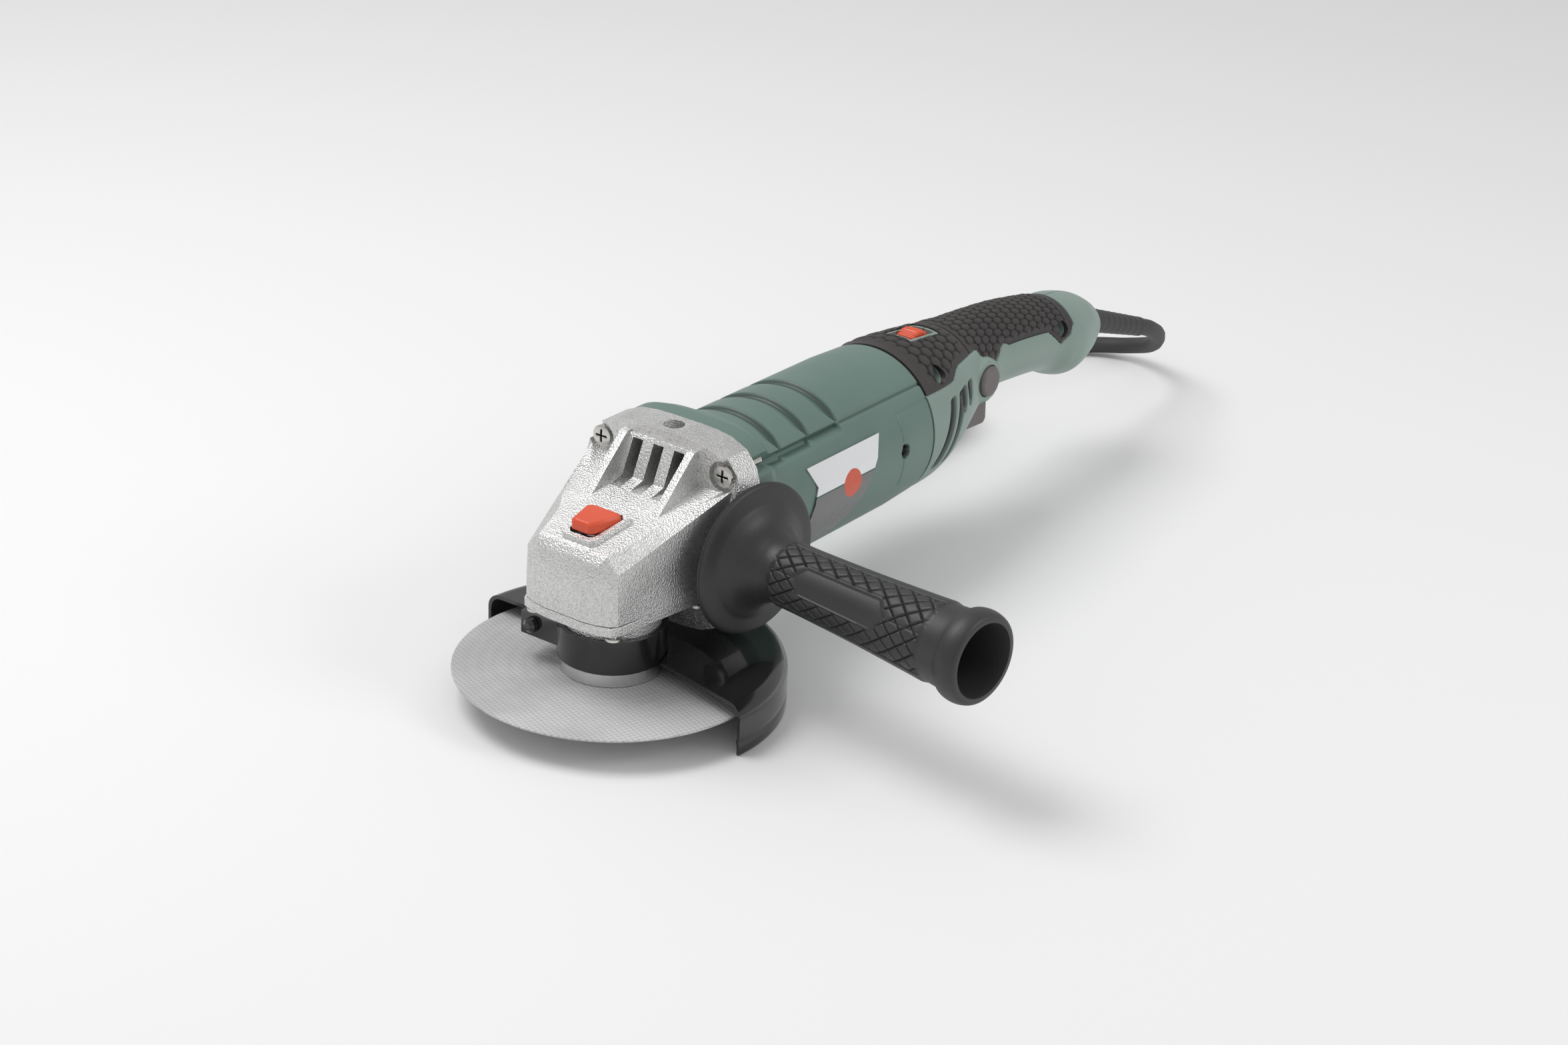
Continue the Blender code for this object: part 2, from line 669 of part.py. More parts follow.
def make_fan():
    """A backing disc with nine straight vanes."""
    blades = 9
    fan = ring_part("cooling_fan", SHAFT_RADIUS + GAP, 28.8, 46, 48, "black_plastic", 24)
    outline = []
    for i in range(blades):
        middle = 2 * math.pi * i / blades
        for radius, half in ((9, 0.24), (28.4, 0.035), (28.4, -0.035), (9, -0.24)):
            angle = middle - half
            outline.append((radius * math.cos(angle), radius * math.sin(angle)))
    vanes = loft(
        "fan_vanes",
        [[(a, y, AXIS_Z + b) for a, b in outline] for y in (37.5, 46.6)],
        "black_plastic",
    )
    join(fan, vanes)
    cut(fan, rod("fan_bore", SHAFT_RADIUS + GAP, 30, 60, "black_plastic", 20, "Y", (0, 0, AXIS_Z)))


def arc_part(name, inner, outer, first, last, low, high, finish, steps=10):
    """A block bent round the motor axis between two angles in degrees."""
    loops = []
    for i in range(steps + 1):
        angle = math.radians(lerp(first, last, i / steps))
        corners = ((inner, low), (outer, low), (outer, high), (inner, high))
        loops.append([(r * math.cos(angle), y, AXIS_Z + r * math.sin(angle)) for r, y in corners])
    return loft(name, loops, finish)


def make_stator():
    ring_part("stator_core", 24, STATOR_RADIUS, CORE_FRONT, CORE_REAR, "electrical_steel", 32)
    for side, middle in (("right", 0), ("left", 180)):
        arc_part(f"field_coil_{side}", 18.6, 23.6, middle - 62, middle + 62, 64, 121, "winding_varnish")
    ring_part("front_bearing", SHAFT_RADIUS + GAP, 13, 25.6, 33.6, "bright_steel", 28)
    ring_part("rear_bearing", SHAFT_RADIUS + GAP, 11, 155, 162, "bright_steel", 28)
    ring_part("air_baffle", 20, STATOR_RADIUS, 51.5, 55, "black_plastic", 28)


def make_brushes():
    for name, side in (("right", 1), ("left", -1)):
        x = sorted((side * 13.0, side * 30.4))
        holder = block(
            f"brush_holder_{name}",
            x,
            (BRUSH_Y - 6.5, BRUSH_Y + 6.5),
            (AXIS_Z - 5.5, AXIS_Z + 5.5),
            "black_plastic",
        )
        channel = block(
            f"brush_channel_{name}",
            sorted((side * 12.0, side * 29.0)),
            (BRUSH_Y - 4, BRUSH_Y + 4),
            (AXIS_Z - 3.2, AXIS_Z + 3.2),
            "black_plastic",
        )
        cut(holder, channel)
        block(
            f"brush_{name}",
            sorted((side * 11.4, side * 25.0)),
            (BRUSH_Y - 3.6, BRUSH_Y + 3.6),
            (AXIS_Z - 2.8, AXIS_Z + 2.8),
            "carbon",
        )


# ------------------------------------------------------------- side handle


def place_on_handle(made):
    """Stand a part made along X on the side handle's leaning axis."""
    made.matrix_world = Matrix.Translation(HANDLE_BASE * MM) @ Matrix.Rotation(HANDLE_LEAN, 4, "Z")


def make_side_handle():
    """A trumpet-shaped flange, a hollow grip that widens outwards and a bead at its end."""
    rim = HANDLE_FLANGE_RADIUS
    end = HANDLE_LENGTH
    profile = (
        (STUD_RADIUS + GAP, -0.6),
        (9, -0.6),
        (rim - 1.5, 0.2),
        (rim, 1.2),
        (rim - 0.5, 2.6),
        (24, 4.0),
        (18, 7.5),
        (14.2, 13),
        (12.4, 21),
        (13.8, 70),
        (15.9, 104),
        (18, 109),
        (18.5, 113),
        (17.6, end - 1),
        (16.2, end),
        (14.75, end),
        (14, end - 3),
        (12.2, 96),
        (9, 26),
        (STUD_RADIUS + GAP, 24),
    )
    handle = turned("side_handle", profile, "handle_plastic", 28, "X")
    stud_profile = ((3.2, -12), (STUD_RADIUS, -11), (STUD_RADIUS, 22))
    stud = stepped_rod("side_handle_stud", stud_profile, "zinc_steel", 20, "X")
    place_on_handle(handle)
    place_on_handle(stud)


# ------------------------------------------------------------- rear handle


def tail_ring(station, offset, first, last, count):
    """Points round one station of the rear handle between two angles, inside its surface."""
    y, centre_z, radius = station
    radius = max(radius - offset, 5.6)
    points = []
    for i in range(count):
        angle = lerp(first, last, i / (count - 1))
        points.append((radius * math.cos(angle), y, centre_z + radius * math.sin(angle)))
    return points


def shell_section(station, covered):
    """The right shell's section: outside from the bottom up, then inside back down."""
    slack = 0.25 / max(station[2] - 4, 5)
    low, top = -math.pi / 2 + slack, math.pi / 2 - slack
    step = GRIP_THICKNESS + GAP if covered else 0
    edge = GRIP_EDGE - GAP / station[2]
    outside = tail_ring(station, 0, low, edge, 9)
    recessed = tail_ring(station, step, edge, top, 5)
    inside = tail_ring(station, SHELL_WALL + GRIP_THICKNESS + GAP, top, low, 9)
    return outside + recessed + inside


def make_rear_handle():
    covered = TAIL_STATIONS[:GRIP_STATIONS]
    last_y, last_z, last_r = covered[-1]
    behind = (last_y + GAP, last_z, last_r)
    loops = [shell_section(s, True) for s in covered]
    loops += [shell_section(behind, True), shell_section(behind, False)]
    loops += [shell_section(s, False) for s in TAIL_STATIONS[GRIP_STATIONS:]]
    mirrored = [[(-x, y, z) for x, y, z in loop] for loop in loops]
    right = loft("handle_shell_right", loops, "green_plastic_tail")
    left = loft("handle_shell_left", mirrored, "green_plastic_tail")

    grip_loops = []
    for station in covered:
        first, last = GRIP_EDGE, math.pi - GRIP_EDGE
        outside = tail_ring(station, 0, first, last, 10)
        inside = tail_ring(station, GRIP_THICKNESS, last, first, 10)
        grip_loops.append(outside + inside)
    grip = loft("grip_cover", grip_loops, "grip_rubber")

    for shell, side in ((right, 1), (left, -1)):
        boss_x = sorted((side * 0.25, side * 10.0))
        for i, (y, z) in enumerate(HANDLE_SCREWS):
            place = (0, y, z)
            join(shell, rod(f"boss_{side}_{i}", 3.8, *boss_x, "green_plastic_tail", 14, "X", place))
    for i, (y, z) in enumerate(HANDLE_SCREWS):
        screw_way = rod(f"screw_way_{i}", 1.9, -9, 40, "green_plastic_tail", 12, "X", (0, y, z))
        cut(right, screw_way)
        cut(left, screw_way)
        head_way = rod(f"head_way_{i}", 3.4, 8, 40, "green_plastic_tail", 14, "X", (0, y, z))
        cut(right, head_way)
        cut(grip, rod(f"grip_way_{i}", 3.6, 5, 40, "grip_rubber", 14, "X", (0, y, z)))
        screw = ((1.5, -7.5), (1.5, 8.3), (3, 8.3), (3, 10.4))
        name = ("handle_screw_front", "handle_screw_rear")[i]
        stepped_rod(name, screw, "zinc_steel", 12, "X", (0, y, z))
    make_controls(right, left, grip)


def make_controls(right, left, grip):
    """Lock-on button, speed dial and trigger, with their openings in the shells."""
    boss = rod("lock_on_boss", 9.8, 14, 23.4, "green_plastic_tail", 20, "X", LOCK_ON_PLACE)
    join(right, boss)
    cut(right, rod("lock_on_hole", 7.2, 10, 40, "green_plastic_tail", 20, "X", LOCK_ON_PLACE))
    cut(right, rod("lock_on_room", 9.0, 6, 18.5, "green_plastic_tail", 20, "X", LOCK_ON_PLACE))
    button = ((8.4, 14.9), (8.4, 16.4), (6.8, 16.4), (6.8, 24.6), (5.6, 25.4))
    stepped_rod("lock_on_button", button, "grey_plastic", 20, "X", LOCK_ON_PLACE)

    window = block("dial_window", (-5.4, 5.4), (188.7, 206.2), (74, 110), "grip_rubber")
    cut(grip, window)
    cut(right, window)
    cut(left, window)
    ring = ((2.3, -4.4), (DIAL_RADIUS - 0.8, -4.4), (DIAL_RADIUS, -3.6), (DIAL_RADIUS, 3.6))
    ring += ((DIAL_RADIUS - 0.8, 4.4), (2.3, 4.4))
    turned("speed_dial", ring, "orange_plastic", 20, "X", DIAL_PLACE)

    mouth = block("trigger_mouth", (-7.3, 7.3), (209, 254), (30, 58), "green_plastic_tail")
    cut(right, mouth)
    cut(left, mouth)
    below = ((212, 41.5), (224, 36.5), (236, 36.8), (249, 36.0), (251, 38))
    above = ((250.5, 47), (236, 53), (213, 48))
    prism("trigger", below + above, -6.6, 6.6, "grey_plastic", axis="X", origin=TRIGGER_PIVOT)
    block("switch_body", (-8.5, 8.5), (222, 256), (62, 77), "black_plastic")
    block("speed_board", (-9, 9), (180, 214), (59, 61), "board_resin")


# -------------------------------------------------------------- mains lead


def smooth_route(points, spacing):
    """Points at an even spacing along a Catmull-Rom curve through the given points."""
    padded = [points[0], *points, points[-1]]
    fine = []
    for i in range(len(points) - 1):
        p0, p1, p2, p3 = (Vector(p) for p in padded[i : i + 4])
        for j in range(40):
            t = j / 40
            a = 2 * p1 + (p2 - p0) * t
            b = (2 * p0 - 5 * p1 + 4 * p2 - p3) * t * t
            c = (3 * p1 - p0 - 3 * p2 + p3) * t**3
            fine.append((a + b + c) / 2)
    fine.append(Vector(points[-1]))
    kept = [fine[0]]
    run = 0.0
    for before, after in zip(fine, fine[1:]):
        run += (after - before).length
        if run >= spacing:
            kept.append(after)
            run = 0.0
    kept[-1] = fine[-1]
    return kept


def make_lead():
    tail_y, tail_z, _ = TAIL_STATIONS[-1]
    start = Vector((0, tail_y + GAP + 1.9, tail_z))
    end = Vector(CORD_ROUTE[0]) - Vector((0, 2 * GAP, 0))
    across = (end - start).normalized()
    side = Vector((1, 0, 0))
    rise = across.cross(side)
    loops = []
    for share, radius in ((0, 5.8), (0.55, 5.3), (0.9, 4.9), (1, 4.4)):
        centre = start.lerp(end, share)
        turn = [2 * math.pi * i / 16 for i in range(16)]
        loops.append([centre + radius * (side * math.cos(t) - rise * math.sin(t)) for t in turn])
    loft("cord_guard", loops, "cord_rubber")
    make_tube("cord_tube", smooth_route(CORD_ROUTE, 16), CORD_RADIUS, "cord_rubber", 2)
    make_hank()
    make_plug()


def make_hank():
    """The outer shape of the wound length: round ends, and a stub where the last run leaves."""
    radius = (HANK_X[1] - HANK_X[0]) / 2
    middle = sum(HANK_X) / 2
    steps = 10
    outline = []
    for i in range(steps + 1):
        angle = math.pi * i / steps
        outline.append((middle + radius * math.cos(angle), HANK_Y[1] - radius + radius * math.sin(angle)))
    for i in range(steps + 1):
        angle = math.pi + math.pi * i / steps
        x, y = radius * math.cos(angle), radius * math.sin(angle)
        if middle + x < PLUG_X - CORD_RADIUS:
            outline.append((middle + x, HANK_Y[0] + radius + y))
    inner = PLUG_X - CORD_RADIUS
    leaving = HANK_Y[0] + radius - math.sqrt(radius**2 - (inner - middle) ** 2)
    outline += [(inner, leaving), (inner, HANK_Y[0]), (HANK_X[1], HANK_Y[0]), (HANK_X[1], HANK_Y[0] + radius)]
    prism("cord_hank", outline, GUARD_BOTTOM + 0.4, GUARD_BOTTOM + 0.4 + HANK_HEIGHT, "cord_rubber")


def make_plug():
    """A two-pin plug lying at the end of the hank's last run, its pins towards -Y."""
    x = PLUG_X
    z = GUARD_BOTTOM + 0.4 + 9.5
    loops = []
    for y, half_w, half_h, power in (
        (PLUG_Y, 17.6, 9.4, 3.2),
        (PLUG_Y + 8, 17.6, 9.5, 3.2),
        (PLUG_Y + 20, 14, 9.5, 2.6),
        (PLUG_Y + 32, 8, 8, 2.2),
        (PLUG_Y + 46, 5.2, 5.2, 2),
    ):
        loops.append([(x + px, py, pz) for px, py, pz in oval(half_w, half_h, power, 24, y, z)])
    loft("plug_body", loops, "cord_rubber")
    for i, side in enumerate((-1, 1)):
        pin = ((1.6, PLUG_Y - 19), (2.4, PLUG_Y - 18), (2.4, PLUG_Y - GAP))
        stepped_rod(f"plug_pin_{i + 1}", pin, "nickel", 14, "Y", (x + side * 9.5, 0, z))


def main():
    for old in list(bpy.data.objects):
        bpy.data.objects.remove(old, do_unlink=True)
    make_gear_case()
    make_case_screws()
    make_spindle_cover()
    make_cover_screws()
    make_lock_button()
    make_spindle()
    make_wheel_stack()
    make_gears()
    make_guard()
    make_guard_band()
    make_motor_housing()
    make_label()
    make_armature()
    make_stator()
    make_brushes()
    make_side_handle()
    make_rear_handle()
    make_lead()


main()
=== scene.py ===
import json
import math

import bmesh
import bpy
import numpy as np
from mathutils import Matrix, Vector


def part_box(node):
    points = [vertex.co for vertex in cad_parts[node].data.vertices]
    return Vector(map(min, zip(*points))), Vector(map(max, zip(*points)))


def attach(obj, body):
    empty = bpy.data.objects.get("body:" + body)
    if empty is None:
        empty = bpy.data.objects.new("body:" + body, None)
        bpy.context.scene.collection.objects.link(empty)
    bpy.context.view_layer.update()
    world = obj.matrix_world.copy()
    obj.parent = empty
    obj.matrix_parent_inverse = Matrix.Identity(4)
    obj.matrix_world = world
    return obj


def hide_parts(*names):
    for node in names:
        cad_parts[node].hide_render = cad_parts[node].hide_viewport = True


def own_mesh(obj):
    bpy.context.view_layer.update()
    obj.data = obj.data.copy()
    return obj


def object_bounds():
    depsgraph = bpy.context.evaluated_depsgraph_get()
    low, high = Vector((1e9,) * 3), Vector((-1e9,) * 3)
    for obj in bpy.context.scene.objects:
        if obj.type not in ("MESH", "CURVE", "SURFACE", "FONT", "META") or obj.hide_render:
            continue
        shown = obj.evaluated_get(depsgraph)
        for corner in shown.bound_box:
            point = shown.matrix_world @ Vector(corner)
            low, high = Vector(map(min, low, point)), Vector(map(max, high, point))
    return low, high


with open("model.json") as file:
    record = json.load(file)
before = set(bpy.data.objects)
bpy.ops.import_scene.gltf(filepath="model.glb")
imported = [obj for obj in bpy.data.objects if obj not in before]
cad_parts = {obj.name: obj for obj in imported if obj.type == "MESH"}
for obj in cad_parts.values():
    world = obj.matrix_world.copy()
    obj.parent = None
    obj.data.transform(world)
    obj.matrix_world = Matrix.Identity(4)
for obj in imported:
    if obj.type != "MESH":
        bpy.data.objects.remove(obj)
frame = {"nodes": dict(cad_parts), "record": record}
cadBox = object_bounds()
mm = 0.001
motorHeight = (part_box("armature_core")[0].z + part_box("armature_core")[1].z) / 2 / mm
floorLevel = cadBox[0].z
print("frame loaded")


def addObject(name, data):
    made = bpy.data.objects.new(name, data)
    bpy.context.scene.collection.objects.link(made)
    return made


# Camera, at a three-quarter view from the front right

cameraPlace = dict(azimuth=36.79, elevation=24.81, roll=2.05, distance=1.3, lens=73.69)
cameraPlace.update(target=(0, 0.080, 0.040), shift=(0.0288, 0.0055))


def makeCamera(place):
    # Looks along a direction given by its turn about Z and its height, then rolls about that line
    a, e, r = (math.radians(place[k]) for k in ("azimuth", "elevation", "roll"))
    forward = Vector((-math.sin(a) * math.cos(e), math.cos(a) * math.cos(e), -math.sin(e)))
    right = Vector((math.cos(a), math.sin(a), 0))
    up = right.cross(forward)
    right, up = right * math.cos(r) + up * math.sin(r), up * math.cos(r) - right * math.sin(r)
    data = bpy.data.cameras.new("camera")
    data.lens, data.sensor_width = place["lens"], 36
    data.shift_x, data.shift_y = place["shift"]
    camera = addObject("camera", data)
    turn = Matrix((right, up, -forward)).transposed().to_4x4()
    camera.matrix_world = Matrix.Translation(Vector(place["target"]) - forward * place["distance"]) @ turn
    bpy.context.scene.camera = camera


makeCamera(cameraPlace)


# Surfaces as grids of points


def smoothLine(points, count):
    # Catmull-Rom: each stretch is the cubic through its ends with slopes from their neighbours,
    # then read again at an even spacing along its length
    p = np.asarray(points, float)
    p = np.vstack([p[:1], p, p[-1:]])
    t = np.linspace(0, len(p) - 3 - 1e-9, (len(p) - 3) * 30)
    i, f = t.astype(int), (t % 1)[:, None]
    a, b, c, d = p[i], p[i + 1], p[i + 2], p[i + 3]
    line = (2 * b + (c - a) * f + (2 * a - 5 * b + 4 * c - d) * f**2 + (3 * b - a - 3 * c + d) * f**3) / 2
    run = np.concatenate([[0], np.cumsum(np.linalg.norm(np.diff(line, axis=0), axis=1))])
    even = np.linspace(0, run[-1], count)
    return np.stack([np.interp(even, run, line[:, k]) for k in range(line.shape[1])], 1)


def rampUp(low, high, x):
    # 0 below low, 1 above high and a smooth S between them
    t = np.clip((x - low) / (high - low), 0, 1)
    return t * t * (3 - 2 * t)


def bump(x, width):
    # 1 at x = 0, falling off as a bell
    return np.exp(-((x / width) ** 2))


def gridFaces(rows, columns, wrapRows, wrapColumns):
    i = np.arange(rows if wrapRows else rows - 1)[:, None]
    j = np.arange(columns if wrapColumns else columns - 1)[None]
    k, m = (i + 1) % rows, (j + 1) % columns
    corners = (i * columns + j, i * columns + m, k * columns + m, k * columns + j)
    return np.stack(np.broadcast_arrays(*corners), -1).reshape(-1, 4)


def foldedCap(row, columns):
    # Closes a section made of an outer line and the inner line run backwards
    i = np.arange(columns // 2 - 1)
    base = row * columns
    return np.stack([base + i, base + i + 1, base + columns - 2 - i, base + columns - 1 - i], 1)


def makePiece(name, grid, slot, body, stands=(), wrap=(True, True), folded=False, marks=None):
    # grid holds millimetres; rows that shrink to a point are merged there. The slot also names the finish
    rows, columns = grid.shape[:2]
    faces = gridFaces(rows, columns, *wrap)
    if folded:
        faces = np.vstack([faces, foldedCap(0, columns), foldedCap(rows - 1, columns)])
    mesh = bpy.data.meshes.new(name)
    mesh.from_pydata((grid.reshape(-1, 3) * mm).tolist(), [], faces.tolist())
    if marks is not None:
        layer = mesh.attributes.new("marks", "FLOAT", "POINT")
        layer.data.foreach_set("value", marks.astype(np.float32).ravel())
    work = bmesh.new()
    work.from_mesh(mesh)
    bmesh.ops.remove_doubles(work, verts=work.verts, dist=2e-6)
    bmesh.ops.recalc_face_normals(work, faces=work.faces)
    work.to_mesh(mesh)
    work.free()
    mesh.materials.append(finishes[slot])
    mesh.shade_smooth()
    mesh.set_sharp_from_angle(angle=math.radians(50))
    piece = addObject(name, mesh)
    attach(piece, body)
    if stands:
        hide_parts(*stands)
    return piece


def turnProfile(profile, steps, axis="Z"):
    # Each (radius, height) pair goes round the axis: across it cos and sin of the angle times the radius
    t = np.linspace(0, 2 * math.pi, steps, endpoint=False)[:, None]
    r, h = profile[:, 0][None], profile[:, 1][None] + 0 * t
    a, b = r * np.cos(t), r * np.sin(t)
    return np.stack({"X": (h, a, b), "Z": (a, b, h)}[axis], -1)


def carve(piece, tools):
    # Cuts each tool from the piece for good
    for tool in tools:
        step = piece.modifiers.new("cut", "BOOLEAN")
        step.operation, step.solver, step.object = "DIFFERENCE", "EXACT", tool
    bpy.context.view_layer.update()
    made = bpy.data.meshes.new_from_object(piece.evaluated_get(bpy.context.evaluated_depsgraph_get()))
    piece.modifiers.clear()
    piece.data = made
    made.shade_smooth()
    made.set_sharp_from_angle(angle=math.radians(50))
    for tool in tools:
        bpy.data.objects.remove(tool)


def toolFrom(grid, wrap=(True, True), capped=False):
    rows, columns = grid.shape[:2]
    faces = gridFaces(rows, columns, *wrap).tolist()
    if capped:
        faces += [list(range(columns)), list(range((rows - 1) * columns, rows * columns))]
    mesh = bpy.data.meshes.new("tool")
    mesh.from_pydata((grid.reshape(-1, 3) * mm).tolist(), [], faces)
    work = bmesh.new()
    work.from_mesh(mesh)
    bmesh.ops.recalc_face_normals(work, faces=work.faces)
    work.to_mesh(mesh)
    work.free()
    return addObject("tool", mesh)


def boxTool(x, y, z):
    corners = np.array([(x[0], y[0]), (x[1], y[0]), (x[1], y[1]), (x[0], y[1])], float)
    grid = np.stack([np.column_stack([corners, np.full(4, h)]) for h in z])
    return toolFrom(grid, (False, True), True)


def rodTool(radius, x, y, z):
    # A round bar along X
    t = np.linspace(0, 2 * math.pi, 40, endpoint=False)
    ring = np.stack([0 * t, y + radius * np.cos(t), z + radius * np.sin(t)], 1)
    return toolFrom(np.stack([ring + (h, 0, 0) for h in x]), (False, True), True)


# Shader maths as expressions


class Sock:
    # A socket or a number in one node tree, with the operators that the finishes use
    def __init__(self, tree, socket):
        self.tree, self.socket = tree, socket

    def maths(self, kind, *others):
        return node(self.tree, "ShaderNodeMath", {"operation": kind}, dict(enumerate([self, *others])))

    def __add__(self, other):
        return self.maths("ADD", other)

    def __sub__(self, other):
        return self.maths("SUBTRACT", other)

    def __rsub__(self, other):
        return self.maths("MULTIPLY", -1).maths("ADD", other)

    def __mul__(self, other):
        return self.maths("MULTIPLY", other)

    def above(self, low, high):
        # 0 below low and 1 above high
        return node(
            self.tree,
            "ShaderNodeMapRange",
            {"interpolation_type": "SMOOTHSTEP"},
            {"Value": self, "From Min": low, "From Max": high},
        )

    __radd__, __rmul__ = __add__, __mul__


def node(tree, kind, settings=None, inputs=None, output=0):
    made = tree.nodes.new(kind)
    for key, value in (settings or {}).items():
        setattr(made, key, value)
    for key, value in (inputs or {}).items():
        if isinstance(value, Sock):
            tree.links.new(value.socket, made.inputs[key])
        else:
            made.inputs[key].default_value = value
    return Sock(tree, made.outputs[output])


def mixColour(tree, factor, first, second):
    made = tree.nodes.new("ShaderNodeMix")
    made.data_type = "RGBA"
    for index, value in ((0, factor), (6, first), (7, second)):
        if isinstance(value, Sock):
            tree.links.new(value.socket, made.inputs[index])
        else:
            made.inputs[index].default_value = value if index == 0 else (*value, 1)
    return Sock(tree, made.outputs[2])


def finish(name, colour, rough, metal=0.0, grain=900, depth=0.0001, vary=0.12, wear=0.06, coat=0.0,
           paint=None):
    # A fine grain in the bump, broad mottling in the colour and scuffs in the roughness
    made = bpy.data.materials.new(name)
    made.use_nodes = True
    tree = made.node_tree
    shader = tree.nodes["Principled BSDF"]
    shader.inputs["Metallic"].default_value = metal
    shader.inputs["Coat Weight"].default_value = coat
    place = node(tree, "ShaderNodeTexCoord", output=3)
    broad = node(tree, "ShaderNodeTexNoise", None, {"Vector": place, "Scale": 28.0, "Detail": 4.0})
    fine = node(tree, "ShaderNodeTexNoise", None, {"Vector": place, "Scale": float(grain), "Detail": 3.0})
    dark = tuple(c * (1 - vary) for c in colour)
    light = tuple(min(c * (1 + vary), 1) for c in colour)
    shade = mixColour(tree, broad.above(0.3, 0.7), dark, light)
    roughness = (broad.above(0.35, 0.75) - 0.5) * wear + (fine - 0.5) * wear + rough
    height = fine
    if paint:
        shade, roughness, height = paint(tree, place, shade, roughness, height, fine)
    tree.links.new(shade.socket, shader.inputs["Base Color"])
    tree.links.new(roughness.socket, shader.inputs["Roughness"])
    rise = node(tree, "ShaderNodeBump", None, {"Height": height, "Strength": 0.6, "Distance": depth})
    tree.links.new(rise.socket, shader.inputs["Normal"])
    return made


# The paints all take the same things, and each uses what it needs


def paintedRecessShade(tree, place, shade, roughness, height, fine):
    # Painted shade: grooves that the mesh marks a little are darkened, and slots and holes, marked strongly,
    # are painted near black
    mark = node(tree, "ShaderNodeAttribute", {"attribute_name": "marks"}, None, 2)
    shade = mixColour(tree, mark.above(0.02, 0.22) * 0.72, shade, (0.02, 0.035, 0.03))
    return mixColour(tree, mark.above(0.35, 0.75), shade, (0.008, 0.009, 0.009)), roughness, height


def paintedHollowShade(tree, place, shade, roughness, height, fine):
    # Painted shade darkens the hollows between the scales, and the handled tops are smoother than the hollows
    mark = node(tree, "ShaderNodeAttribute", {"attribute_name": "marks"}, None, 2)
    hollow = mark.above(0.15, 0.85)
    return mixColour(tree, hollow, shade, (0.006, 0.0055, 0.005)), roughness + hollow * 0.2, height


def castGrain(tree, place, shade, roughness, height, fine):
    # Blasted casting: tight pits over a soft unevenness
    pits = node(tree, "ShaderNodeTexVoronoi", None, {"Vector": place, "Scale": 1400.0})
    shade = mixColour(tree, pits.above(0.15, 0.75) * 0.45, shade, (0.86, 0.86, 0.85))
    shade = mixColour(tree, (1 - fine.above(0.3, 0.5)) * 0.4, shade, (0.27, 0.27, 0.27))
    return shade, roughness + fine * 0.12, height + pits


def wovenPaper(tree, place, shade, roughness, height, fine):
    # Two sets of fine crossing threads under the abrasive, and a darker worn side
    crossed = 0
    for turn in (0.35, 0.35 + math.pi / 2):
        turned = node(tree, "ShaderNodeMapping", None, {"Vector": place, "Rotation": (0, 0, turn)})
        lines = node(tree, "ShaderNodeTexWave", {"bands_direction": "X"}, {"Vector": turned, "Scale": 165.0})
        crossed = lines.above(0.75, 1.0) + crossed
    side = node(tree, "ShaderNodeSeparateXYZ", None, {"Vector": place}, 1).above(-0.004, 0.03)
    shade = mixColour(tree, crossed * 0.3, shade, (0.30, 0.30, 0.31))
    return mixColour(tree, side * 0.55, shade, (0.22, 0.22, 0.23)), roughness, height + crossed * 0.8


def labelBands(tree, place, shade, roughness, height, fine):
    # White above and grey below, split by a plain line, with a plain round dot across it
    rise = node(tree, "ShaderNodeSeparateXYZ", None, {"Vector": place}, 2)
    white = rise.above(0.0632, 0.0634)
    line = white * (1 - rise.above(0.0640, 0.0642))
    shade = mixColour(tree, white, (0.17, 0.17, 0.175), (0.80, 0.81, 0.82))
    shade = mixColour(tree, line, shade, (0.05, 0.09, 0.07))
    along = node(tree, "ShaderNodeSeparateXYZ", None, {"Vector": place}, 1) - 0.1085
    away = along * along + (rise - 0.0625) * (rise - 0.0625)
    dot = 1 - away.above(0.0058**2, 0.0060**2)
    return mixColour(tree, dot, shade, (0.62, 0.09, 0.045)), roughness, height


def brushedRings(tree, place, shade, roughness, height, fine):
    # Turning marks round the spindle
    rings = node(tree, "ShaderNodeTexWave", {"wave_type": "RINGS", "rings_direction": "Z"},
                 {"Vector": place, "Scale": 180.0})
    return shade, roughness + rings * 0.06, fine


